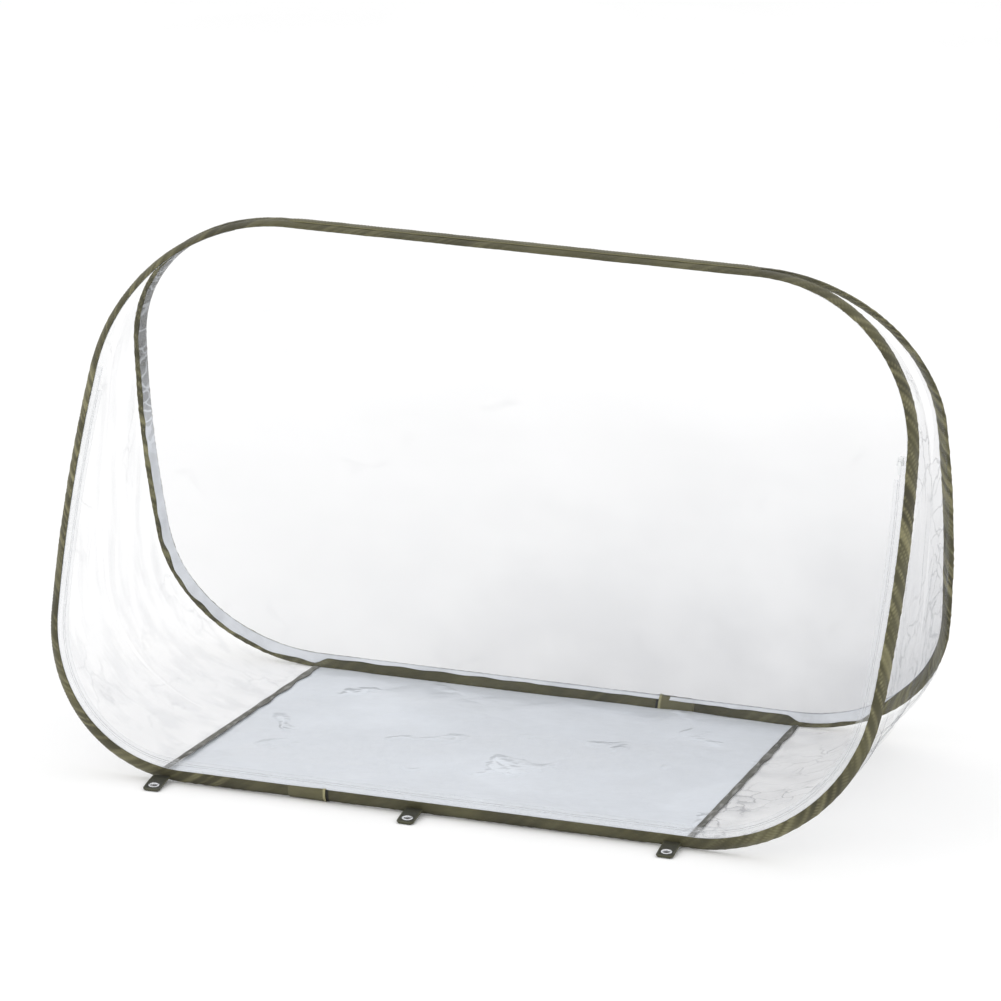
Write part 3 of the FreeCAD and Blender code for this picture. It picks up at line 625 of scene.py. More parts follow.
def plain_finish(name, low, high, scale, rough, relief, **values):
    """A finish with a slight variation of colour and roughness and a fine grain."""
    material, tree, shader = new_material(name, **values)
    where = object_place(tree)
    patch = use_group(tree, patches, vector=where, scale=scale, low=0.0, high=1.0)
    tree.links.new(
        mix_colours(tree, patch.outputs[0], light(*low), light(*high)), shader.inputs["Base Color"]
    )
    shade = use_group(tree, patches, vector=where, scale=scale * 3, low=rough * 0.8, high=rough * 1.3)
    tree.links.new(shade.outputs[0], shader.inputs["Roughness"])
    bump(tree, shader, patch.outputs[0], relief)
    return material


zip_tape_finish = plain_finish("zip tape", (214, 217, 222), (232, 234, 237), 900, 0.6, 0.15 * MM, alpha=0.14)
coil_finish = plain_finish("zip coil", (216, 219, 223), (236, 238, 240), 500, 0.3, 0.05 * MM, alpha=0.3)
slider_finish = plain_finish("slider plastic", (228, 230, 231), (240, 241, 241), 300, 0.32, 0.03 * MM)
olive_thread = plain_finish("olive thread", (58, 55, 34), (88, 84, 58), 900, 0.55, 0.08 * MM)
dark_thread = plain_finish("dark thread", (20, 20, 15), (34, 33, 24), 900, 0.6, 0.1 * MM)
eyelet_steel = plain_finish("eyelet steel", (196, 197, 200), (232, 233, 236), 260, 0.22, 0.03 * MM, metallic=1.0)
spring_steel = plain_finish("spring steel", (96, 98, 102), (132, 134, 138), 180, 0.3, 0.03 * MM, metallic=1.0)
print("materials:", len(bpy.data.materials))

# %% [markdown]
# ## The sleeves
# A sleeve is a strip of olive cloth folded round the flat wire and sewn shut, so its section is a
# flat lens, thickest over the wire. It is tilted, because the films pull its two edges apart: the
# inner edge towards the front panel, the outer edge towards the end wall. The cloth is cut on the
# bias, so it creases in slanting ridges where the hoop bends. The lens is a circle squeezed to
# shape and carried round; the creases are then pushed up along each point's normal, and how sharp
# each one is goes into an attribute that the cloth reads to paint a highlight there.

# %% The sleeve's section
sleeve_half_width = 9 * MM
sleeve_half_thick = 3 * MM
sleeve_tilt = math.radians(36.87)


def across_to_hoop(across, off):
    """From the sleeve's own axes, across its width and off its face, to inwards and outwards."""
    inwards = across * math.sin(sleeve_tilt) + off * math.cos(sleeve_tilt)
    out = across * math.cos(sleeve_tilt) - off * math.sin(sleeve_tilt)
    return inwards, out


def hoop_to_across(inwards, out):
    across = inwards * math.sin(sleeve_tilt) + out * math.cos(sleeve_tilt)
    off = inwards * math.cos(sleeve_tilt) - out * math.sin(sleeve_tilt)
    return across, off


def sleeve_face(across, spare=0.0):
    """How thick the lens is, from its middle plane, at a place across its width."""
    share = min(1, abs(across) / sleeve_half_width)
    round_part = math.sqrt(1 - share**2)
    return sleeve_half_thick * round_part * (0.55 + 0.45 * round_part**2) + spare


def sleeve_ring(count, spare=0.0):
    """The lens as a ring of (inwards, outwards) points, grown by a spare thickness."""
    points = []
    for one in range(count):
        turn = 2 * math.pi * one / count
        across = sleeve_half_width * math.cos(turn)
        off = math.copysign(sleeve_face(across), math.sin(turn))
        if abs(math.sin(turn)) < 1e-9:
            off = 0.0
        across += spare * math.cos(turn)
        off += spare * math.sin(turn)
        points.append(across_to_hoop(across, off))
    return points


# %% The creases of bias-cut cloth
crease_spacing = 11 * MM
crease_slant = 1.3
crease_height = 0.75 * MM


def crease_at(along, hand, across, off, seed):
    """How sharply the cloth is creased there, from 0 to 1, in slanting ridges."""
    face = 1 if off >= 0 else -1
    phase = (along + crease_slant * across * face * hand) / crease_spacing
    wave = noise.noise(Vector((phase, 4.7 * face, seed + 3 * hand)))
    ridge = max(0.0, 1 - abs(wave) * 3.2) ** 2
    bent = math.exp(-(((along - 0.78) / 0.32) ** 2)) + 0.5 * math.exp(-(((along - 0.42) / 0.1) ** 2))
    patch = noise.noise(Vector((along * 9, hand * 2.1, seed + 20)))
    amount = min(1.0, 0.12 + 0.75 * bent + 0.5 * patch)
    return ridge * max(0.05, amount)


def crease_sleeve(bm, seed):
    """Push the creases up, pucker the sewn edges and store each ridge's sharpness for the cloth's painted
    highlight.
    """
    bm.normal_update()
    layer = bm.verts.layers.float.new("painted_highlight")
    moves = []
    for vert in bm.verts:
        along, inwards = find_on_hoop(vert.co.x, vert.co.y)
        across, off = hoop_to_across(inwards, vert.co.z)
        hand = 1 if vert.co.x >= 0 else -1
        middle = min(1.0, abs(vert.co.x) / (20 * MM))
        sharp = crease_at(along, hand, across, off, seed) * middle
        soft = noise.noise(Vector((along * 24, across * 130, seed + hand * middle)))
        pucker = abs(across / sleeve_half_width) ** 4 * math.sin(along / (1.9 * MM)) * 0.12
        # The ridge's sharpness also sets how much painted highlight the cloth gets there.
        vert[layer] = min(1.0, sharp * 1.1)
        lift = crease_height * sharp + (0.35 * soft * middle + pucker) * MM
        moves.append(vert.normal * lift)
    for vert, move in zip(bm.verts, moves):
        vert.co += move


# %% Both sleeves
sleeve_step = 3.2 * MM
end_twist = math.radians(16)
sleeve_points = 24


def twist_sleeve(bm, hand):
    """Turn the lens a little flatter to the hoop's face round one end, as sewing leaves it."""
    for vert in bm.verts:
        if vert.co.x * hand <= 0:
            continue
        along, inwards = find_on_hoop(vert.co.x, vert.co.y)
        fade = blend_steps(along, 0.5, 0.7) * (1 - blend_steps(along, 1.12, 1.25))
        turn = end_twist * fade
        out = vert.co.z * math.cos(turn) - inwards * math.sin(turn)
        inwards = vert.co.z * math.sin(turn) + inwards * math.cos(turn)
        x, y = on_hoop(along, inwards)
        vert.co = (math.copysign(x, hand), y, out)


def sleeve_uv(co):
    along, inwards = find_on_hoop(co.x, co.y)
    across, off = hoop_to_across(inwards, co.z)
    return along, across + math.copysign(0.3, off)


for side, seed in ((FRONT, 1.0), (REAR, 50.0)):
    bm = carry_round(sleeve_ring(sleeve_points), sleeve_step)
    lay_uv(bm, sleeve_uv)
    crease_sleeve(bm, seed)
    if side == REAR:
        twist_sleeve(bm, -1)
    finish_piece(
        f"{side}_sleeve",
        bm,
        sleeve_cloth,
        place[side],
        body_of_side[side],
        [f"{side}_binding"],
    )

# %% [markdown]
# ## Stitches
# A double row of lockstitch closes the sleeve and holds the film, one near each edge of the lens.
# A painted dashed line would look flat from close by, so each stitch is a small stretched ball,
# sunk a little into the cloth. It has only twenty faces, because there are thousands of them.

# %% A row of stitches
stitch_length = 2.6 * MM
stitch_pitch = 3.9 * MM
stitch_width = 0.55 * MM
stitch_rows = (6.6 * MM, -6.6 * MM)


def add_stitch(bm, spot, forward, up, length=stitch_length, width=stitch_width):
    """One stitch, lying along forward with its crown towards up."""
    sideways = up.cross(forward).normalized()
    turn = Matrix((forward.normalized(), sideways, up.normalized())).transposed().to_4x4()
    size = Matrix.Diagonal((length / 2, width / 2, width / 2.4, 1))
    bmesh.ops.create_icosphere(
        bm, subdivisions=1, radius=1, matrix=Matrix.Translation(spot) @ turn @ size
    )


def stitch_sleeve(side, face):
    """Stitches along one face of a sleeve, near both of its edges."""
    bm = bmesh.new()
    count = round(half_length / stitch_pitch)
    for hand in (1, -1):
        for one in range(count):
            along = (one + 0.5) * half_length / count
            ahead = Vector((*on_hoop(along + MM), 0)) - Vector((*on_hoop(along - MM), 0))
            ahead.normalize()
            inner = Vector((-ahead.y, ahead.x, 0))
            for across in stitch_rows:
                inwards, out = across_to_hoop(across, face * (sleeve_face(across) + 0.12 * MM))
                x, y = on_hoop(along)
                spot = Vector((x, y, 0)) + inner * inwards + Vector((0, 0, out))
                up_in, up_out = across_to_hoop(0, face)
                up = inner * up_in + Vector((0, 0, up_out))
                flip = Vector((hand, 1, 1))
                add_stitch(bm, spot * flip, ahead * flip, up * flip)
    return bm


for side in (FRONT, REAR):
    finish_piece(
        f"{side}_sleeve_stitches",
        stitch_sleeve(side, -1),
        olive_thread,
        place[side],
        body_of_side[side],
    )

# %% [markdown]
# ## The laps
# The sleeve's cloth is one long strip, and where its two ends meet on the foot one end is folded
# over the other and tacked down. The fold shows as a step, drawn lighter as painted light, with a
# painted highlight along its edge and a short row of very dark thread beside it. The lap is the
# same lens, a little larger, carried along the foot for a short way and flared at its open end.

# %% A lap on each foot
lap_box_low, lap_box_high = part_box("front_binding_lap")
lap_start, lap_end = lap_box_low[0], lap_box_high[0]
lap_steps = 24


def lap_ring(bm, x, spare, ring=None):
    points = sleeve_ring(sleeve_points, spare)
    if ring is None:
        verts = [bm.verts.new((x, inwards, out)) for inwards, out in points]
        return [bm.edges.new(pair) for pair in zip(verts, verts[1:] + verts[:1])]
    for vert, (inwards, out) in zip(ring, points):
        vert.co = (x, inwards, out)
    return None


def lap_shell(start, end, start_spare, end_spare, flare, steps):
    """A short sleeve over the sleeve, from one x to another, growing and flared at its end."""
    bm = bmesh.new()
    edges = lap_ring(bm, start, start_spare)
    for one in range(1, steps + 1):
        share = one / steps
        grown = bmesh.ops.extrude_edge_only(bm, edges=edges)["geom"]
        verts = [g for g in grown if isinstance(g, bmesh.types.BMVert)]
        edges = [g for g in grown if isinstance(g, bmesh.types.BMEdge)]
        edges = [e for e in edges if all(v in verts for v in e.verts)]
        spare = start_spare + (end_spare - start_spare) * share + flare * share**8
        ordered = sorted(verts, key=lambda v: ring_order(v.co))
        lap_ring(bm, start + (end - start) * share, spare, ordered)
    bmesh.ops.recalc_face_normals(bm, faces=bm.faces)
    return bm


def ring_order(co):
    """The place of a point round the lens, so that a ring keeps its order."""
    across, off = hoop_to_across(co.y, co.z)
    return math.atan2(off / sleeve_half_thick, across / sleeve_half_width) % (2 * math.pi)


for side in (FRONT, REAR):
    bm = lap_shell(lap_start, lap_end, 0.1 * MM, 0.7 * MM, 0.9 * MM, lap_steps)
    layer = bm.verts.layers.float.new("painted_highlight")
    for vert in bm.verts:
        # Painted highlight on the lap's folded edge, its last 3 mm.
        vert[layer] = 0.9 if vert.co.x > lap_end - 3 * MM else 0.1
        vert.co.z += 0.25 * MM * math.sin(vert.co.x / (3 * MM))
    lay_uv(bm, sleeve_uv)
    lap = finish_piece(
        f"{side}_sleeve_lap",
        bm,
        lap_cloth_painted_lighter,
        place[side],
        body_of_side[side],
        [f"{side}_binding_lap"],
    )
    thicken(lap, 0.45 * MM)
    bm = lap_shell(lap_end - 1 * MM, lap_end + 3.4 * MM, 0.35 * MM, 0.3 * MM, 0.0, 12)
    for vert in bm.verts:
        vert.co.z += 0.12 * MM * math.sin(vert.co.x / (0.35 * MM))
    finish_piece(f"{side}_lap_tack", bm, dark_thread, place[side], body_of_side[side])

# %% [markdown]
# ## Clear panels
# A panel is one cut of film, the hoop's shape, sewn into the sleeve all round. Here a plain grid
# is stretched to the hoop's outline, row by row, with its rows closer together near the foot and
# the ridge, where the corners turn. Film never hangs quite flat, so it gets a slow billow and some
# folds that run into the corners, both calmed near its sewn edge. The front one is cut narrower
# beside the zip.

# %% A panel stretched to the hoop
film_level = 4.6 * MM
hinge = Vector(joints["door_lift"]["pos_m"])
hinge_rise = (place[FRONT].inverted() @ hinge).y
panel_columns, panel_rows = 190, 130


def film_wave(x, y, seed):
    """How far the film stands off its plane, in metres."""
    slow = noise.noise(Vector((x * 2.3, y * 2.9, seed))) * 3.2 * MM
    fold = noise.noise(Vector((x * 9 + y * 5, y * 4 - x * 3, seed + 5))) * 1.1 * MM
    return slow + fold


def panel_mesh(inset_at, seed):
    """A grid stretched so that each row reaches the hoop's line, inset as asked."""
    bm = bmesh.new()
    bmesh.ops.create_grid(bm, x_segments=panel_columns, y_segments=panel_rows, size=1)
    for vert in bm.verts:
        along, up = vert.co.x, (vert.co.y + 1) / 2
        rise = hoop_rise * (1 - math.cos(math.pi * up)) / 2
        inset = inset_at(rise)
        rise = min(max(rise, inset_at(0)), hoop_rise - inset_at(hoop_rise))
        vert.co = (along * half_width(rise, inset), rise, 0)
    flat = sum(face.calc_area() for face in bm.faces)
    for vert in bm.verts:
        edge = max(0.0, find_on_hoop(vert.co.x, vert.co.y)[1])
        calm = min(1.0, max(0.0, edge - 6 * MM) / (50 * MM))
        vert.co.z = film_level + film_wave(vert.co.x, vert.co.y, seed) * calm
    lay_uv(bm, lambda co: (co.x, co.y))
    bmesh.ops.recalc_face_normals(bm, faces=bm.faces)
    return bm, flat


# %% The front panel with its door
sewn_inset = 5 * MM
zip_inset = 13.9 * MM
zip_top = hinge_rise + 28 * MM


def front_inset(rise):
    """Sewn into the sleeve above the zip, and cut back to the zip's middle beside it."""
    share = min(1.0, max(0.0, (rise - zip_top) / (10 * MM)))
    share = share * share * (3 - 2 * share)
    return zip_inset + (sewn_inset - zip_inset) * share


bm, flat = panel_mesh(front_inset, 3.0)
front_panel = finish_piece(
    "front_panel",
    bm,
    front_film,
    place[FRONT],
    nodes=["front_film", "door_film"],
)
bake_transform(front_panel)

# %% The rear panel
bm, flat = panel_mesh(lambda rise: sewn_inset, 31.0)
rear_panel = finish_piece(
    "rear_panel", bm, rear_film, place[REAR], "rear_frame", ["rear_film"]
)

# %% [markdown]
# ## End walls and floor
# Each end wall is one strip of film that starts at the floor seam, turns up round the low corner
# and climbs to the ridge between the two hoops. The floor is a rectangle between the two seams.
# When the hoops fold together, these pieces fold along their middle, like a gusset, into the gap
# between the hoops. So each is made in two halves that meet on the middle line. A half rides on
# its own hoop.

# %% The seams run a little askew, from the rear hoop's foot to the front one
seam_rear = {"left": -303 * MM, "right": 303 * MM}
seam_front = {"left": -338 * MM, "right": 288 * MM}


def seam_x(name, y):
    """Where a floor seam is across the tent, at a distance from the middle line."""
    share = (foot_back - y) / (2 * foot_back)
    return seam_rear[name] + (seam_front[name] - seam_rear[name]) * share


# %% A half strip between one hoop and the middle line
wall_outset = 4.8 * MM
wall_back = 7.4 * MM
wall_start = 303.15 * MM
wall_top_rise = 648 * MM
strip_step = 6 * MM


def hoop_edge(along, side, hand, outset, back):
    """A point on the line where a film meets the sleeve of one hoop."""
    x, y = on_hoop(along, -outset)
    return place[side] @ Vector((x * hand * (1 if side == FRONT else -1), y, -back))


def fold_with(piece, side):
    """Ride on one hoop, with a mesh of its own."""
    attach(piece, body_of_side[side])
    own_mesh(piece)


def strip_half(start, end, point_at, push):
    """A grid whose rows run from the hoop's edge to the middle line; push gives its relief."""
    long_steps = round(abs(end - start) / strip_step)
    wide_steps = 44
    bm = bmesh.new()
    bmesh.ops.create_grid(bm, x_segments=long_steps, y_segments=wide_steps, size=1)
    layer = bm.verts.layers.float.new("slack")
    for vert in bm.verts:
        along = start + (end - start) * (vert.co.x + 1) / 2
        share = (vert.co.y + 1) / 2
        edge = point_at(along, 0)
        vert.co = point_at(along, share)
        vert[layer] = blend_steps((vert.co - edge).length, 4 * MM, 26 * MM)
    flat = sum(face.calc_area() for face in bm.faces)
    bm.normal_update()
    moves = [push(vert.co, vert.normal) for vert in bm.verts]
    for vert, move in zip(bm.verts, moves):
        vert.co += move
    return bm, flat


# %% The four wall halves
wall_rise_end = next(
    s * MM for s in range(1, 1465) if s * MM > low_x and on_hoop(s * MM, -wall_outset)[1] > wall_top_rise
)


def wall_relief(co, normal):
    """Soft folds that run from corner to corner, calmer where the film is sewn."""
    hold = min(1.0, max(0.0, (co.z - 4 * MM) / (60 * MM)))
    reach = abs(co.y) / max(0.02, foot_back * (1 - co.z / ridge_z))
    hold *= min(1.0, max(0.0, 1.0 - reach) / 0.15)
    long_fold = noise.noise(Vector((co.y * 14 + co.z * 5, co.z * 3.2, math.copysign(8, co.x))))
    small_fold = noise.noise(Vector((co.y * 45, co.z * 16, co.x * 9)))
    sharp = 1 - abs(noise.noise(Vector((co.y * 22 - co.z * 9, co.z * 7, co.x * 2)))) * 2
    lift = 5.5 * long_fold + 1.3 * small_fold + 2.6 * max(0.0, sharp) ** 3
    return normal * (lift * hold * MM)


for hand, name in ((1, "right"), (-1, "left")):
    for side in (FRONT, REAR):

        def wall_point(along, share, side=side, hand=hand, name=name):
            edge_y = hoop_edge(wall_start, side, hand, wall_outset, wall_back).y * (1 - share)
            first = abs(seam_x(name, edge_y)) + 0.15 * MM
            along = first + (along - wall_start) * (wall_rise_end - first) / (wall_rise_end - wall_start)
            edge = hoop_edge(along, side, hand, wall_outset, wall_back)
            edge.y *= 1 - share
            return edge

        bm, flat = strip_half(wall_start, wall_rise_end, wall_point, wall_relief)
        wall = finish_piece(
            f"{name}_wall_{side}_half",
            bm,
            wall_film[name],
            nodes=[f"{name}_end_film"],
        )
        fold_with(wall, side)

# %% The two floor halves
floor_low, floor_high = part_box("floor_sheet")


def floor_relief(co, normal):
    """Low ripples in the floor film, flat where it is sewn to the seams."""
    name = "left" if co.x < 0 else "right"
    hold = min(1.0, max(0.0, abs(seam_x(name, co.y)) - abs(co.x)) / (40 * MM))
    wave = noise.noise(Vector((co.x * 6, co.y * 9, 2.0))) + 0.4 * noise.noise(Vector((co.x * 21, co.y * 17, 7.0)))
    return Vector((0, 0, max(0.0, wave + 0.25) * 2.2 * MM * hold))


for side in (FRONT, REAR):
    edge_y = floor_low[1] if side == FRONT else floor_high[1]

    def floor_point(along, share, edge_y=edge_y):
        y = edge_y * (1 - share)
        left, right = seam_x("left", y), seam_x("right", y)
        across = (along - floor_low[0]) / (floor_high[0] - floor_low[0])
        return Vector((left + (right - left) * across, y, floor_high[2]))

    bm, flat = strip_half(floor_low[0], floor_high[0], floor_point, floor_relief)
    for face in bm.faces:
        if face.normal.z < 0:
            face.normal_flip()
    floor = finish_piece(f"floor_{side}_half", bm, floor_film, nodes=["floor_sheet"])
    fold_with(floor, side)

# %% The seam tapes
for hand, name in ((1, "right"), (-1, "left")):
    seam_low, seam_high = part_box(f"{name}_floor_seam")
    seam_width = seam_high[0] - seam_low[0]
    for side in (FRONT, REAR):
        edge_y = seam_low[1] if side == FRONT else seam_high[1]
        bm = bmesh.new()
        bmesh.ops.create_grid(bm, x_segments=8, y_segments=90, size=1)
        layer = bm.verts.layers.float.new("painted_highlight")
        for vert in bm.verts:
            share = (vert.co.y + 1) / 2
            y = edge_y * (1 - share)
            seam_middle = seam_x(name, y)
            pull = noise.noise(Vector((y * 30, hand, 1.0)))
            bulge = noise.noise(Vector((y * 70, vert.co.x * 0.8, hand)))
            x = seam_middle + vert.co.x * seam_width / 2 * (0.55 + 0.3 * pull) + 1.1 * MM * pull
            lifted = max(0.0, on_hoop(abs(seam_middle))[1]) * math.cos(lean)
            z = seam_high[2] + max(0.0, bulge) * 2.4 * MM * (1 - vert.co.x**2) + lifted
            # Painted highlight on the tape's bulges.
            vert[layer] = max(0.0, bulge) * 0.9
            vert.co = (x, y, z)
        lay_uv(bm, lambda co: (co.x, co.y))
        for face in bm.faces:
            face.normal_update()
            if face.normal.z < 0:
                face.normal_flip()
        seam = finish_piece(
            f"{name}_seam_{side}_half", bm, seam_cloth, nodes=[f"{name}_floor_seam"]
        )
        thicken(seam, 0.6 * MM)
        fold_with(seam, side)

# %% [markdown]
# ## Film hems
# The large panels are sewn on with a hem of doubled film that lies along the sleeve's inner face.
# It is why the sleeve looks grey and milky where it is seen from inside the tent. The hem is wide
# round one end, where the last seam is closed, narrower on the foot, and nearly nothing above the
# other low corner. It is a thin ribbon that follows the lens: swept round with its full width first,
# then each point is drawn back to the hem's true width there, and trimmed below the ridge.

# %% How wide the hem is
hem_points = 9
hem_from = 8.3 * MM
hem_lift, hem_thick = 0.45 * MM, 0.3 * MM
hem_wide, hem_narrow, hem_on_foot = 12.5 * MM, 0.6 * MM, 5.5 * MM
hem_top = 640 * MM


def hem_width(x, y, wide_hand):
    """The hem's width at a point of the drawing; only one end has the wide one."""
    ragged = 1 + 0.22 * noise.noise(Vector((x * 38, y * 38, 6.0)))
    if x * wide_hand > 0:
        end_width = hem_wide
    else:
        bend_share = blend_steps(find_on_hoop(x, y)[0], 380 * MM, 450 * MM)
        end_width = hem_wide + (hem_narrow - hem_wide) * bend_share
    share = blend_steps(abs(x), low_x - 12 * MM, low_x + 6 * MM)
    return (hem_on_foot + (end_width - hem_on_foot) * share) * ragged


def hem_section():
    lower, upper = [], []
    for one in range(hem_points):
        across = hem_from - hem_wide * one / (hem_points - 1)
        lower.append(across_to_hoop(across, sleeve_face(across) + hem_lift))
        upper.append(across_to_hoop(across, sleeve_face(across) + hem_lift + hem_thick))
    return lower + upper[::-1]


def fit_hem(bm, wide_hand):
    """Draw each point of the swept ribbon back to the hem's own width."""
    for vert in bm.verts:
        along, inwards = find_on_hoop(vert.co.x, vert.co.y)
        across, off = hoop_to_across(inwards, vert.co.z)
        lift = off - sleeve_face(across)
        share = (hem_from - across) / hem_wide
        across = hem_from - share * hem_width(vert.co.x, vert.co.y, wide_hand)
        new_inwards, out = across_to_hoop(across, sleeve_face(across) + lift)
        x, y = on_hoop(along, new_inwards)
        vert.co = (math.copysign(x, vert.co.x) if x else vert.co.x, y, out)


# %% Both hems
for side, wide_hand in ((FRONT, -1), (REAR, 1)):
    bm = carry_round(hem_section(), 5 * MM)
    fit_hem(bm, wide_hand)
    everything = bm.verts[:] + bm.edges[:] + bm.faces[:]
    bmesh.ops.bisect_plane(
        bm, geom=everything, dist=1e-7, plane_co=(0, hem_top, 0), plane_no=(0, 1, 0), clear_outer=True
    )
    ends = [edge for edge in bm.edges if edge.is_boundary]
    bmesh.ops.holes_fill(bm, edges=ends, sides=0)
    bmesh.ops.recalc_face_normals(bm, faces=bm.faces)
    finish_piece(f"{side}_film_hem", bm, hem_film, place[side], body_of_side[side])

# %% [markdown]
# ## The zip
# The door is closed by a nylon coil zip that runs up one side, along the foot and up the other
# side. One tape is sewn to the sleeve and stays with the hoop; the other is sewn to the door and
# lifts with it. Each tape is a flat ribbon with a bead along its inner edge. The coil itself is
# carried round too, as a thin bead, and its turns are a fine ribbing in its mesh. Both are
# trimmed at the top by a cutting plane and closed.

# %% Tapes and coils
tape_half_thick = 0.4 * MM
zip_middle = 13.3 * MM
coil_width, coil_half_thick = 1.0 * MM, 0.5 * MM


def ribbon_section(start, end, half_thick):
    return [
        (start, film_level - half_thick),
        ((start + end) / 2, film_level - half_thick),
        (end, film_level - half_thick),
        (end, film_level + half_thick),
        ((start + end) / 2, film_level + half_thick),
        (start, film_level + half_thick),
    ]


def trim_top(bm, rise):
    """Cut off what is above a rise, and close the cut ends."""
    everything = bm.verts[:] + bm.edges[:] + bm.faces[:]
    bmesh.ops.bisect_plane(
        bm, geom=everything, dist=1e-7, plane_co=(0, rise, 0), plane_no=(0, 1, 0), clear_outer=True
    )
    ends = [edge for edge in bm.edges if edge.is_boundary]
    bmesh.ops.holes_fill(bm, edges=ends, sides=0)
    bmesh.ops.recalc_face_normals(bm, faces=bm.faces)


zip_frame_top = (place[FRONT].inverted() @ Vector(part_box("zip_frame_tape")[1])).y
door_top = hinge_rise - 0.5 * MM
frame_zip_top = hinge_rise + 27 * MM
parts = (
    ("zip_frame_side", sewn_inset, 12.7 * MM, frame_zip_top, "front_frame", "zip_frame_tape", -1),
    ("zip_door_side", 13.9 * MM, 18.7 * MM, door_top, "door", "zip_door_tape", 1),
)
for name, start, end, top, body, node, way in parts:
    bm = carry_round(ribbon_section(start, end, tape_half_thick), 5 * MM)
    trim_top(bm, top)
    lay_uv(bm, lambda co: find_on_hoop(co.x, co.y))
    finish_piece(name, bm, zip_tape_finish, place[FRONT], body, [node])
    middle = (end if way < 0 else start) + way * 0.2 * MM
    coil = ribbon_section(middle - coil_width / 2, middle + coil_width / 2, coil_half_thick)
    bm = carry_round(coil, 0.8 * MM)
    trim_top(bm, top)
    for vert in bm.verts:
        along = find_on_hoop(vert.co.x, vert.co.y)[0]
        swell = 0.08 * MM * math.sin(along * 2 * math.pi / (2.4 * MM))
        vert.co.z += math.copysign(swell, vert.co.z - film_level)
    finish_piece(f"{name}_coil", bm, coil_finish, place[FRONT], body)

# %% [markdown]
# ## The slider and its pull
# The slider is two small shields joined by a post, with a bridge on top that holds the pull. In
# real life it is cast or moulded, so nothing on it has a sharp edge. Boxes shaped with bevels do
# well here: the shields taper towards the closed end, and the pull is a rounded tongue with a
# grip ring pressed into it.

# %% The slider's own axes
slider_rise = 457 * MM
slider_turn = math.asin((slider_rise - widest_rise) / (side_radius - zip_middle))
slider_x = side_x + (side_radius - zip_middle) * math.cos(slider_turn)
slider_place = place[FRONT] @ Matrix.Translation((slider_x, slider_rise, film_level))
slider_place = slider_place @ Matrix.Rotation(slider_turn, 4, "Z")


def add_block(bm, middle, size, bevel, segments=3):
    """A block with rounded edges, added to a working mesh."""
    scale = Matrix.Diagonal((*size, 1))
    made = bmesh.ops.create_cube(bm, size=1, matrix=Matrix.Translation(middle) @ scale)
    edges = list({edge for vert in made["verts"] for edge in vert.link_edges})
    bmesh.ops.bevel(
        bm,
        geom=edges,
        offset=bevel,
        segments=segments,
        profile=0.5,
        affect="EDGES",
        material=-1,
        clamp_overlap=True,
    )


bm = bmesh.new()
for level in (1.2 * MM, -1.2 * MM):
    add_block(bm, (0, 0, level), (8.4 * MM, 9.8 * MM, 0.95 * MM), 0.4 * MM)
for vert in bm.verts:
    vert.co.x *= 1 - 0.32 * max(0.0, vert.co.y / (4.9 * MM)) ** 1.5
add_block(bm, (0, 0, 0), (0.6 * MM, 3.3 * MM, 3.0 * MM), 0.1 * MM, 2)
for hand in (1, -1):
    add_block(bm, (hand * 2.3 * MM, 0, 2.9 * MM), (0.8 * MM, 3.0 * MM, 2.8 * MM), 0.3 * MM)
pin_level = 3.3 * MM
turned = Matrix.Translation((0, 0, pin_level)) @ Matrix.Rotation(math.pi / 2, 4, "Y")
bmesh.ops.create_cone(
    bm,
    cap_ends=True,
    segments=16,
    radius1=0.6 * MM,
    radius2=0.6 * MM,
    depth=5.2 * MM,
    matrix=turned,
)
finish_piece("slider", bm, slider_finish, slider_place, "slider", ["zip_slider"])

# %% The pull
bm = bmesh.new()
pull_length, pull_half = 17 * MM, 1.7 * MM
add_block(bm, (0, -pull_length / 2 - 0.4 * MM, pin_level), (3.3 * MM, pull_length - 1.4 * MM, 0.85 * MM), 0.35 * MM)
for vert in bm.verts:
    vert.co.x *= 1 + 0.12 * math.cos(vert.co.y / pull_length * 2 * math.pi)
for row in range(6):
    y = -pull_length + 2.2 * MM + row * 1.1 * MM
    add_block(bm, (0, y, pin_level), (2.5 * MM, 0.45 * MM, 1.25 * MM), 0.15 * MM, 2)
bmesh.ops.create_cone(
    bm,
    cap_ends=True,
    segments=20,
    radius1=1.15 * MM,
    radius2=1.15 * MM,
    depth=3.3 * MM,
    matrix=turned,
)
finish_piece("slider_pull", bm, slider_finish, slider_place, "pull", ["zip_pull"])

# %% [markdown]
# ## The ridge tape
# A strip of the same cloth is sewn over both sleeves along the ridge. It is what the two hoops
# hinge on. It is a grid, arched over the two sleeves, with a stitch row near each long edge.

# %% The tape over the ridge
ridge_low, ridge_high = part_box("ridge_tape")
bm = bmesh.new()
bmesh.ops.create_grid(bm, x_segments=150, y_segments=10, size=1)
layer = bm.verts.layers.float.new("painted_highlight")
arch = 1.5 * MM


def ridge_point(along, across):
    """On the tape: along and across run from -1 to 1."""
    ripple = noise.noise(Vector((along * 16, across, 4.0)))
    past = max(0.0, abs(along) - 0.93) / 0.07
    y = across * ridge_high[1] * (1 - 0.35 * past**2) + 0.3 * MM * ripple
    z = ridge_high[2] - 0.5 * MM - arch * across**2 + (0.25 * ripple - 1.1 * past**2) * MM
    return Vector((along * ridge_high[0], y, z))


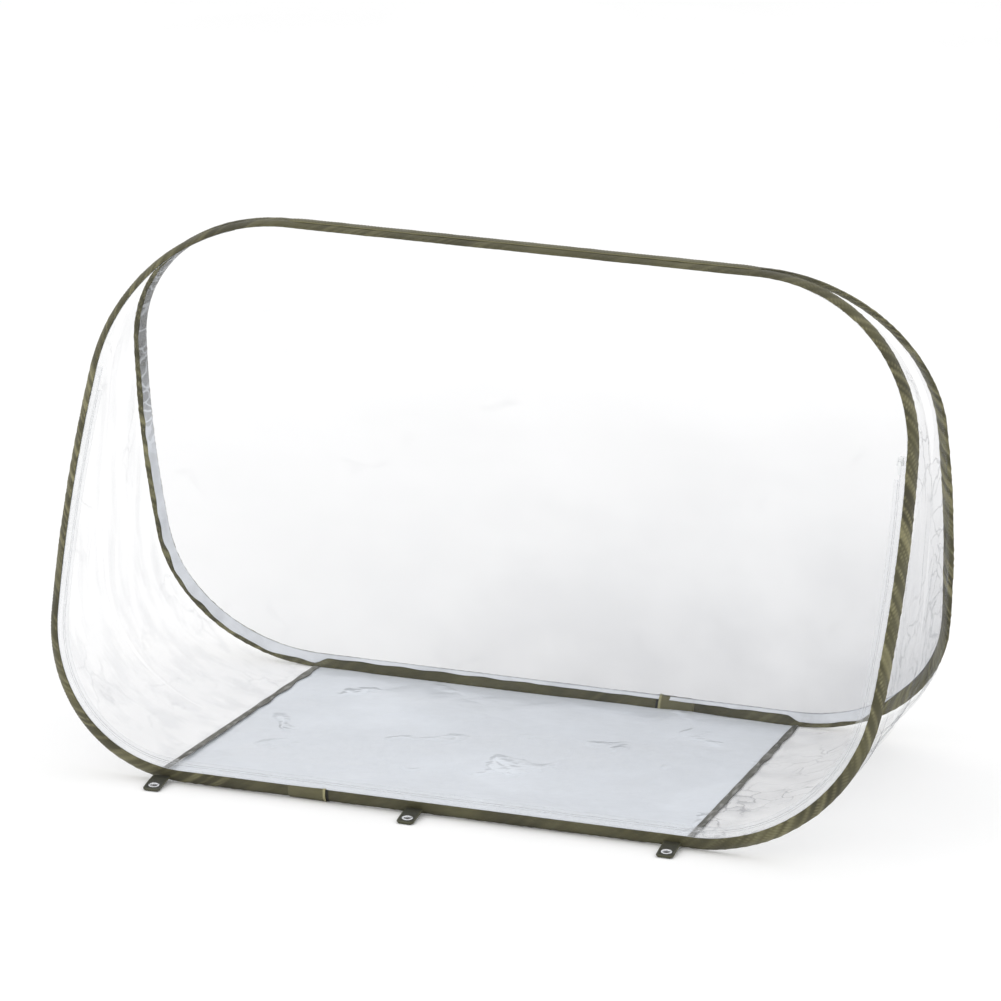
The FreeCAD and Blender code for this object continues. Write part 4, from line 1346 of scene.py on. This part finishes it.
for vert in bm.verts:
    # Painted highlight along the tape's two long edges, and a little over the rest.
    vert[layer] = 0.7 if abs(vert.co.y) > 0.9 else 0.15
    vert.co = ridge_point(vert.co.x, vert.co.y)
lay_uv(bm, lambda co: (co.x, co.y))
ridge = finish_piece("ridge_cover", bm, sleeve_cloth, body="ridge", nodes=["ridge_tape"])
thicken(ridge, 0.7 * MM)
bm = bmesh.new()
for one in range(140):
    for across in (-0.72, 0.72):
        spot = ridge_point((one + 0.5) / 70 - 1, across) + Vector((0, 0, 0.35 * MM))
        add_stitch(bm, spot, Vector((1, 0, 0)), Vector((0, -across, 1)))
finish_piece("ridge_stitches", bm, olive_thread, body="ridge")

# %% [markdown]
# ## Ground tabs
# Six webbing tabs, three to each hoop, hold the tent down. A tab is a flat strip with clipped
# corners and a steel eyelet near its end. The webbing is a grid with a hole pressed open where
# the eyelet goes, bowed a little so that its end lies on the ground. The eyelet is a rolled
# profile turned once round its own axis, with a raised lip on both sides.

# %% A tab's own axes
tab_length, tab_width, tab_thick = 40 * MM, 20 * MM, 1.6 * MM
tab_corner = 3 * MM
tab_slope = math.radians(7.5)
root_out, root_height = 4.2 * MM, 7 * MM
eyelet_from_end = 12 * MM
hole_radius = 4.5 * MM
bow = 0.7 * MM


def tab_frame(side, x):
    """The root of a tab, with Y back along it, as it hangs from the sleeve's foot."""
    root = Matrix.Translation((x, -foot_back - root_out, root_height))
    root = root @ Matrix.Rotation(tab_slope, 4, "X")
    return Matrix.Rotation(math.pi if side == REAR else 0, 4, "Z") @ root


def tab_mesh():
    """Webbing in the tab's own axes: a grid with clipped corners and an open hole."""
    bm = bmesh.new()
    bmesh.ops.create_grid(bm, x_segments=20, y_segments=36, size=1)
    for vert in bm.verts:
        vert.co = (vert.co.x * tab_width / 2, (vert.co.y - 1) / 2 * tab_length, 0)
    centre = Vector((0, eyelet_from_end - tab_length, 0))
    inside = [v for v in bm.verts if (v.co - centre).length < hole_radius - 0.4 * MM]
    bmesh.ops.delete(bm, geom=inside, context="VERTS")
    for vert in bm.verts:
        away = vert.co - centre
        if vert.is_boundary and away.length < hole_radius + 2 * MM:
            vert.co = centre + away.normalized() * hole_radius
        past = abs(vert.co.x) - (tab_width / 2 - tab_corner + (vert.co.y + tab_length))
        if past > 0:
            vert.co.x -= math.copysign(past, vert.co.x)
    for vert in bm.verts:
        share = -vert.co.y / tab_length
        vert.co.z += bow * math.sin(share * math.pi)
        vert.co.z += 0.12 * MM * noise.noise(vert.co * 90)
    # Painted highlight that grows near the tab's sides and end.
    layer = bm.verts.layers.float.new("painted_highlight")
    for vert in bm.verts:
        edge = max(abs(vert.co.x) / (tab_width / 2), -vert.co.y / tab_length)
        vert[layer] = 0.6 * max(0.0, edge - 0.86) / 0.14
    lay_uv(bm, lambda co: (co.x, co.y))
    return bm


def eyelet_mesh():
    """A rolled eyelet: its profile spun once round the hole's axis."""
    bm = bmesh.new()
    half = tab_thick / 2
    profile = [
        (3.75, -0.2),
        (3.8, half / MM),
        (4.3, half / MM + 0.42),
        (5.1, half / MM + 0.52),
        (6.1, half / MM + 0.36),
        (6.9, half / MM + 0.02),
        (6.5, half / MM - 0.05),
        (4.5, half / MM - 0.05),
        (4.5, -half / MM + 0.05),
        (6.5, -half / MM + 0.05),
        (6.9, -half / MM - 0.02),
        (6.1, -half / MM - 0.36),
        (5.1, -half / MM - 0.5),
        (4.3, -half / MM - 0.42),
        (3.8, -half / MM),
    ]
    verts = [bm.verts.new((radius * MM, 0, level * MM)) for radius, level in profile]
    edges = [bm.edges.new(pair) for pair in zip(verts, verts[1:] + verts[:1])]
    bmesh.ops.spin(
        bm,
        geom=verts + edges,
        cent=(0, 0, 0),
        axis=(0, 0, 1),
        dvec=(0, 0, 0),
        angle=2 * math.pi,
        steps=40,
        use_merge=True,
        use_duplicate=False,
    )
    bmesh.ops.recalc_face_normals(bm, faces=bm.faces)
    return bm


# %% Six tabs and eyelets
tab_spread, tab_shift = 303 * MM, 24 * MM
eyelet_shift = Matrix.Translation((0, eyelet_from_end - tab_length, 0.55 * MM))
for side in (FRONT, REAR):
    for where, step in (("left", -1), ("centre", 0), ("right", 1)):
        name = f"{side}_{where}"
        x = step * tab_spread - tab_shift if side == FRONT else -step * tab_spread
        at = tab_frame(side, x)
        body = f"{name}_tab_body"
        tab = finish_piece(f"{name}_webbing", tab_mesh(), webbing_cloth, at, body, [f"{name}_tab"])
        thicken(tab, 1.5 * MM)
        finish_piece(
            f"{name}_ring",
            eyelet_mesh(),
            eyelet_steel,
            at @ eyelet_shift,
            body,
            [f"{name}_eyelet"],
        )
        bm = bmesh.new()
        for one in range(6):
            x = (one - 2.5) * 3.0 * MM
            spot = Vector((x, -9 * MM, tab_thick / 2 + bow * 0.62))
            add_stitch(bm, spot, Vector((1, 0, 0)), Vector((0, 0, 1)))
        finish_piece(f"{name}_tab_stitches", bm, olive_thread, at, body)

# %% [markdown]
# ## The parts that stay hidden
# The spring wires and the crimps that join their ends run inside the sleeves. They keep the
# frame's own meshes and only get a steel finish, so a cut-away view still looks right.

# %% Steel for the wires and crimps
for side in (FRONT, REAR):
    for node in (f"{side}_hoop_wire", f"{side}_wire_crimp"):
        steel = frame["nodes"][node]
        steel.data.materials.clear()
        steel.data.materials.append(spring_steel)

# %% [markdown]
# ## Studio
# The tent stands on a plain, pale, endless floor under soft light: one large lamp above and in
# front, a weaker one behind, and an even pale sky that fills the shadows. Clear film shows by the
# light that it scatters, so the lamps stay large and soft.

# %% Floor and light
stage_mesh = bpy.data.meshes.new("studio_floor")
bm = bmesh.new()
bmesh.ops.create_grid(bm, x_segments=2, y_segments=2, size=30)
bm.to_mesh(stage_mesh)
bm.free()
studio_floor = bpy.data.objects.new("studio_floor", stage_mesh)
bpy.context.scene.collection.objects.link(studio_floor)
floor_paper = plain_finish("studio paper", (250, 250, 250), (253, 253, 253), 2, 0.9, 0.0)
stage_mesh.materials.append(floor_paper)
world = bpy.data.worlds.new("pale sky")
world.use_nodes = True
world.node_tree.nodes["Background"].inputs[0].default_value = (1, 1, 1, 1)
world.node_tree.nodes["Background"].inputs[1].default_value = 1.03
bpy.context.scene.world = world
bpy.context.scene.view_settings.view_transform = "Standard"


def soft_lamp(name, spot, target, size, power):
    """A large square lamp that looks at a point."""
    data = bpy.data.lights.new(name, "AREA")
    data.size = size
    data.energy = power
    lamp = bpy.data.objects.new(name, data)
    lamp.location = spot
    aim = (Vector(target) - Vector(spot)).to_track_quat("-Z", "Y")
    lamp.rotation_euler = aim.to_euler()
    bpy.context.scene.collection.objects.link(lamp)


soft_lamp("key lamp", (-1.6, -2.4, 3.0), (0, 0, 0.2), 2.6, 13)
soft_lamp("back lamp", (1.2, 2.6, 2.6), (0, 0, 0.3), 2.4, 6)

# %% The camera
camera_data = bpy.data.cameras.new("camera")
camera_data.sensor_width = 36
camera_data.lens = 211.3
camera = bpy.data.objects.new("camera", camera_data)
camera_turn, camera_dip, camera_roll = 14.851, 14.493, 2.804
look = Matrix.Rotation(math.radians(camera_turn), 3, "Z")
look = look @ Matrix.Rotation(math.radians(90 - camera_dip), 3, "X")
look = look @ Matrix.Rotation(math.radians(camera_roll), 3, "Z")
camera.matrix_world = Matrix.Translation((1.6895, -6.4153, 2.0233)) @ look.to_4x4()
bpy.context.scene.collection.objects.link(camera)
bpy.context.scene.camera = camera
